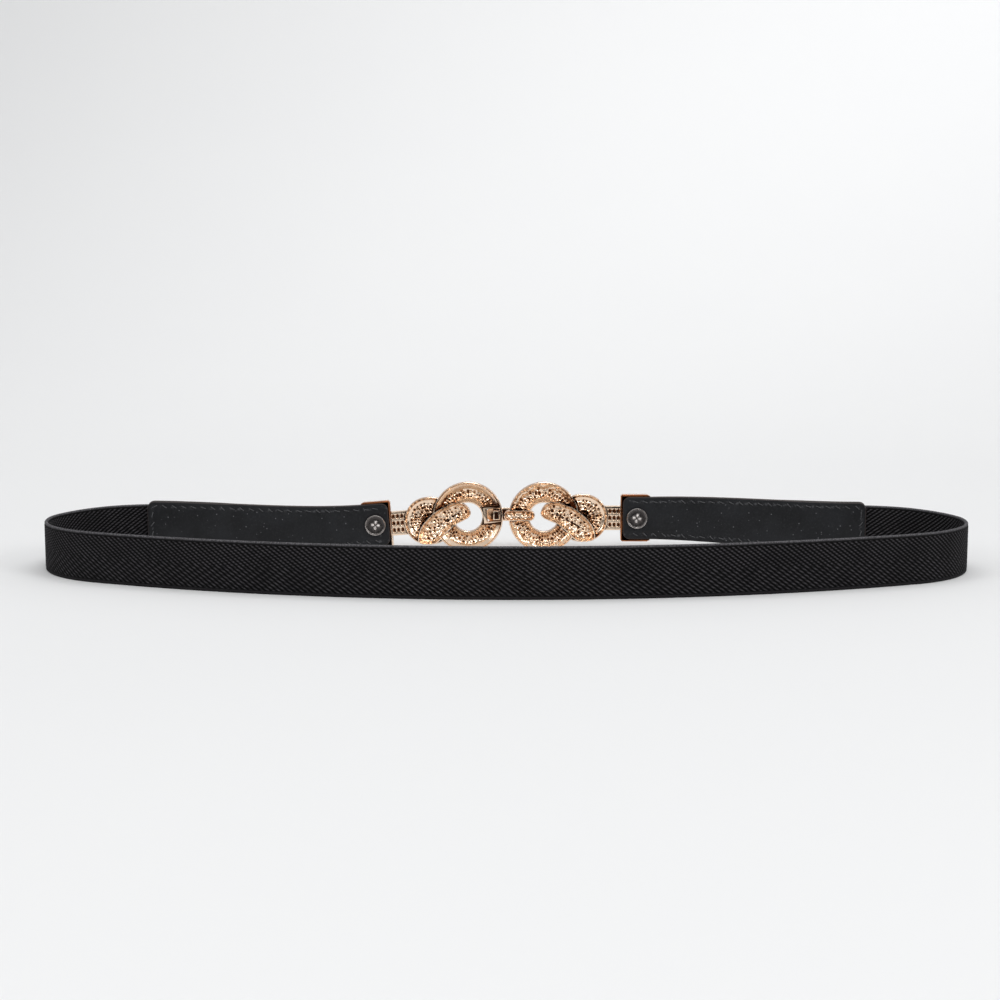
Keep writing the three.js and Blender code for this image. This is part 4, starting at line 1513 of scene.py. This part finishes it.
class BELT_OT_make_rivets(bpy.types.Operator):
    """Makes the rivets that hold the tabs in the clasp's caps"""

    bl_idname = "belt.make_rivets"
    bl_label = "Make rivets"

    def execute(self, context):
        rivet = context.scene.belt_rivet
        material = rivet_steel(rivet)
        for side in SIDES:
            body = rivet_body(rivet)
            body.name = f"rivet_{side.name}_head"
            # Painted shade: the dish takes the shade colour as it sinks below the rim; the post and the round end on
            # the clasp's face take 0.3 of it.
            heights = np.array([-v.co.y - GAP for v in body.data.vertices]) / rivet.head_depth
            painted_dish_shade = np.clip((0.66 - heights) / 0.25, 0, 1)
            store_values(body, "dish", np.where(heights < -0.5, 0.3, painted_dish_shade))
            centre = Matrix.Translation((side.sign * (CAP_OUT + RIVET_IN), 0, -SHANK_DROP))
            spin = Matrix.Rotation(math.radians(12), 4, "Y")
            body.data.transform(in_belt(side) @ centre @ spin)
            dress(body, material, f"rivet_{side.name}", math.radians(50))
        return {"FINISHED"}


# Stage


def paper_sweep(stage):
    """A pale sheet that lies on the floor and curves up behind the belt."""
    half_width = 3.0
    front = -2.5
    bend_at = 0.5
    bend = 1.7
    top = 3.2
    profile = [(front, 0), (bend_at, 0)]
    for angle in np.radians(np.arange(5, 91, 5)):
        profile.append((bend_at + bend * math.sin(angle), bend * (1 - math.cos(angle))))
    profile.append((bend_at + bend, top))
    vertices = [(x, y, z) for y, z in profile for x in (-half_width, half_width)]
    faces = [(2 * i, 2 * i + 1, 2 * i + 3, 2 * i + 2) for i in range(len(profile) - 1)]
    mesh = bpy.data.meshes.new("paper")
    mesh.from_pydata(vertices, [], faces)
    mesh.shade_smooth()
    material, tree, shader = new_material("paper")
    faint = noise_at(tree, object_place(tree), 0.4)
    tone = mixed(tree, ranged(tree, faint, 0.3, 0.7, 0, 0.3), tuple(stage.paper), (0.8, 0.805, 0.815))
    tree.links.new(tone, shader.inputs["Base Color"])
    shader.inputs["Roughness"].default_value = 0.9
    shader.inputs["Specular IOR Level"].default_value = 0.1
    mesh.materials.append(material)
    return new_object("paper_sweep", mesh)


def soft_light(name, place, target, size, power):
    light = bpy.data.lights.new(name, "AREA")
    light.shape = "RECTANGLE"
    light.size, light.size_y = size
    light.energy = power
    lamp = bpy.data.objects.new(name, light)
    lamp.location = place
    lamp.rotation_mode = "QUATERNION"
    lamp.rotation_quaternion = (Vector(target) - Vector(place)).to_track_quat("-Z", "Y")
    bpy.context.scene.collection.objects.link(lamp)


def surround(strength):
    """An even pale surround for what the lights leave."""
    world = bpy.data.worlds.new("surround")
    world.use_nodes = True
    tree = world.node_tree
    background = tree.nodes["Background"]
    way = tree.nodes.new("ShaderNodeTexCoord").outputs["Generated"]
    parts = add_node(tree, "ShaderNodeSeparateXYZ", {0: way}).outputs
    level = ranged(tree, parts["Z"], -0.15, 0.75, 0.55, 1.0)
    tree.links.new(mixed(tree, level, (0.12, 0.12, 0.125), (1.0, 1.0, 1.0)), background.inputs["Color"])
    background.inputs["Strength"].default_value = strength
    bpy.context.scene.world = world


class BELT_OT_make_stage(bpy.types.Operator):
    """Sets the pale floor, the soft lights and the camera"""

    bl_idname = "belt.make_stage"
    bl_label = "Make stage"

    def execute(self, context):
        stage = context.scene.belt_stage
        paper_sweep(stage)
        surround(0.6)
        soft_light("overhead", (0.1, 0.3, 1.3), (0, 0, 0), (1.0, 0.6), 3.4)
        soft_light("backdrop", (0.7, 0.9, 1.4), (0.2, 2.2, 0.7), (2.2, 0.6), 12)
        soft_light("above_camera", (0.1, -1.0, 1.1), (0, 0, 0.02), (0.5, 0.3), 4.5)
        soft_light("right_front", (1.2, -0.9, 0.8), (0, 0, 0.02), (0.45, 0.45), 5.5)
        soft_light("left_front", (-1.2, -0.7, 0.6), (0, 0, 0.02), (0.35, 0.35), 2.6)
        lens = bpy.data.cameras.new("camera")
        lens.lens = stage.lens
        lens.sensor_width = 36
        lens.clip_start = 0.01
        lens.clip_end = 20
        camera = bpy.data.objects.new("camera", lens)
        camera.location = stage.camera_place
        camera.rotation_euler = (math.pi / 2 - stage.camera_tilt, 0, stage.camera_turn)
        context.scene.collection.objects.link(camera)
        context.scene.camera = camera
        context.scene.view_settings.view_transform = "Standard"
        return {"FINISHED"}


# Panel and registration


class BELT_PT_panel(bpy.types.Panel):
    """The belt's settings and its steps"""

    bl_idname = "BELT_PT_panel"
    bl_label = "Stretch belt"
    bl_space_type = "VIEW_3D"
    bl_region_type = "UI"
    bl_category = "Belt"

    def draw(self, context):
        for settings_name, _, operators in PARTS:
            box = self.layout.box()
            settings = getattr(context.scene, settings_name)
            for name in settings.__annotations__:
                box.prop(settings, name)
            for operator in operators:
                box.operator(operator.bl_idname)


PARTS = (
    ("belt_elastic", ElasticSettings, (BELT_OT_make_elastic,)),
    ("belt_leather", LeatherSettings, (BELT_OT_make_tabs, BELT_OT_make_stitches)),
    ("belt_casting", CastingSettings, (BELT_OT_make_clasp,)),
    ("belt_rivet", RivetSettings, (BELT_OT_make_rivets,)),
    ("belt_stage", StageSettings, (BELT_OT_make_stage,)),
)


def register():
    for settings_name, settings, operators in PARTS:
        bpy.utils.register_class(settings)
        setattr(bpy.types.Scene, settings_name, bpy.props.PointerProperty(type=settings))
        for operator in operators:
            bpy.utils.register_class(operator)
    bpy.utils.register_class(BELT_PT_panel)


def unregister():
    bpy.utils.unregister_class(BELT_PT_panel)
    for settings_name, settings, operators in reversed(PARTS):
        for operator in operators:
            bpy.utils.unregister_class(operator)
        delattr(bpy.types.Scene, settings_name)
        bpy.utils.unregister_class(settings)


def main():
    register()
    bpy.ops.belt.make_elastic()
    bpy.ops.belt.make_tabs()
    bpy.ops.belt.make_stitches()
    bpy.ops.belt.make_clasp()
    bpy.ops.belt.make_rivets()
    bpy.ops.belt.make_stage()


if __name__ == "__main__":
    main()
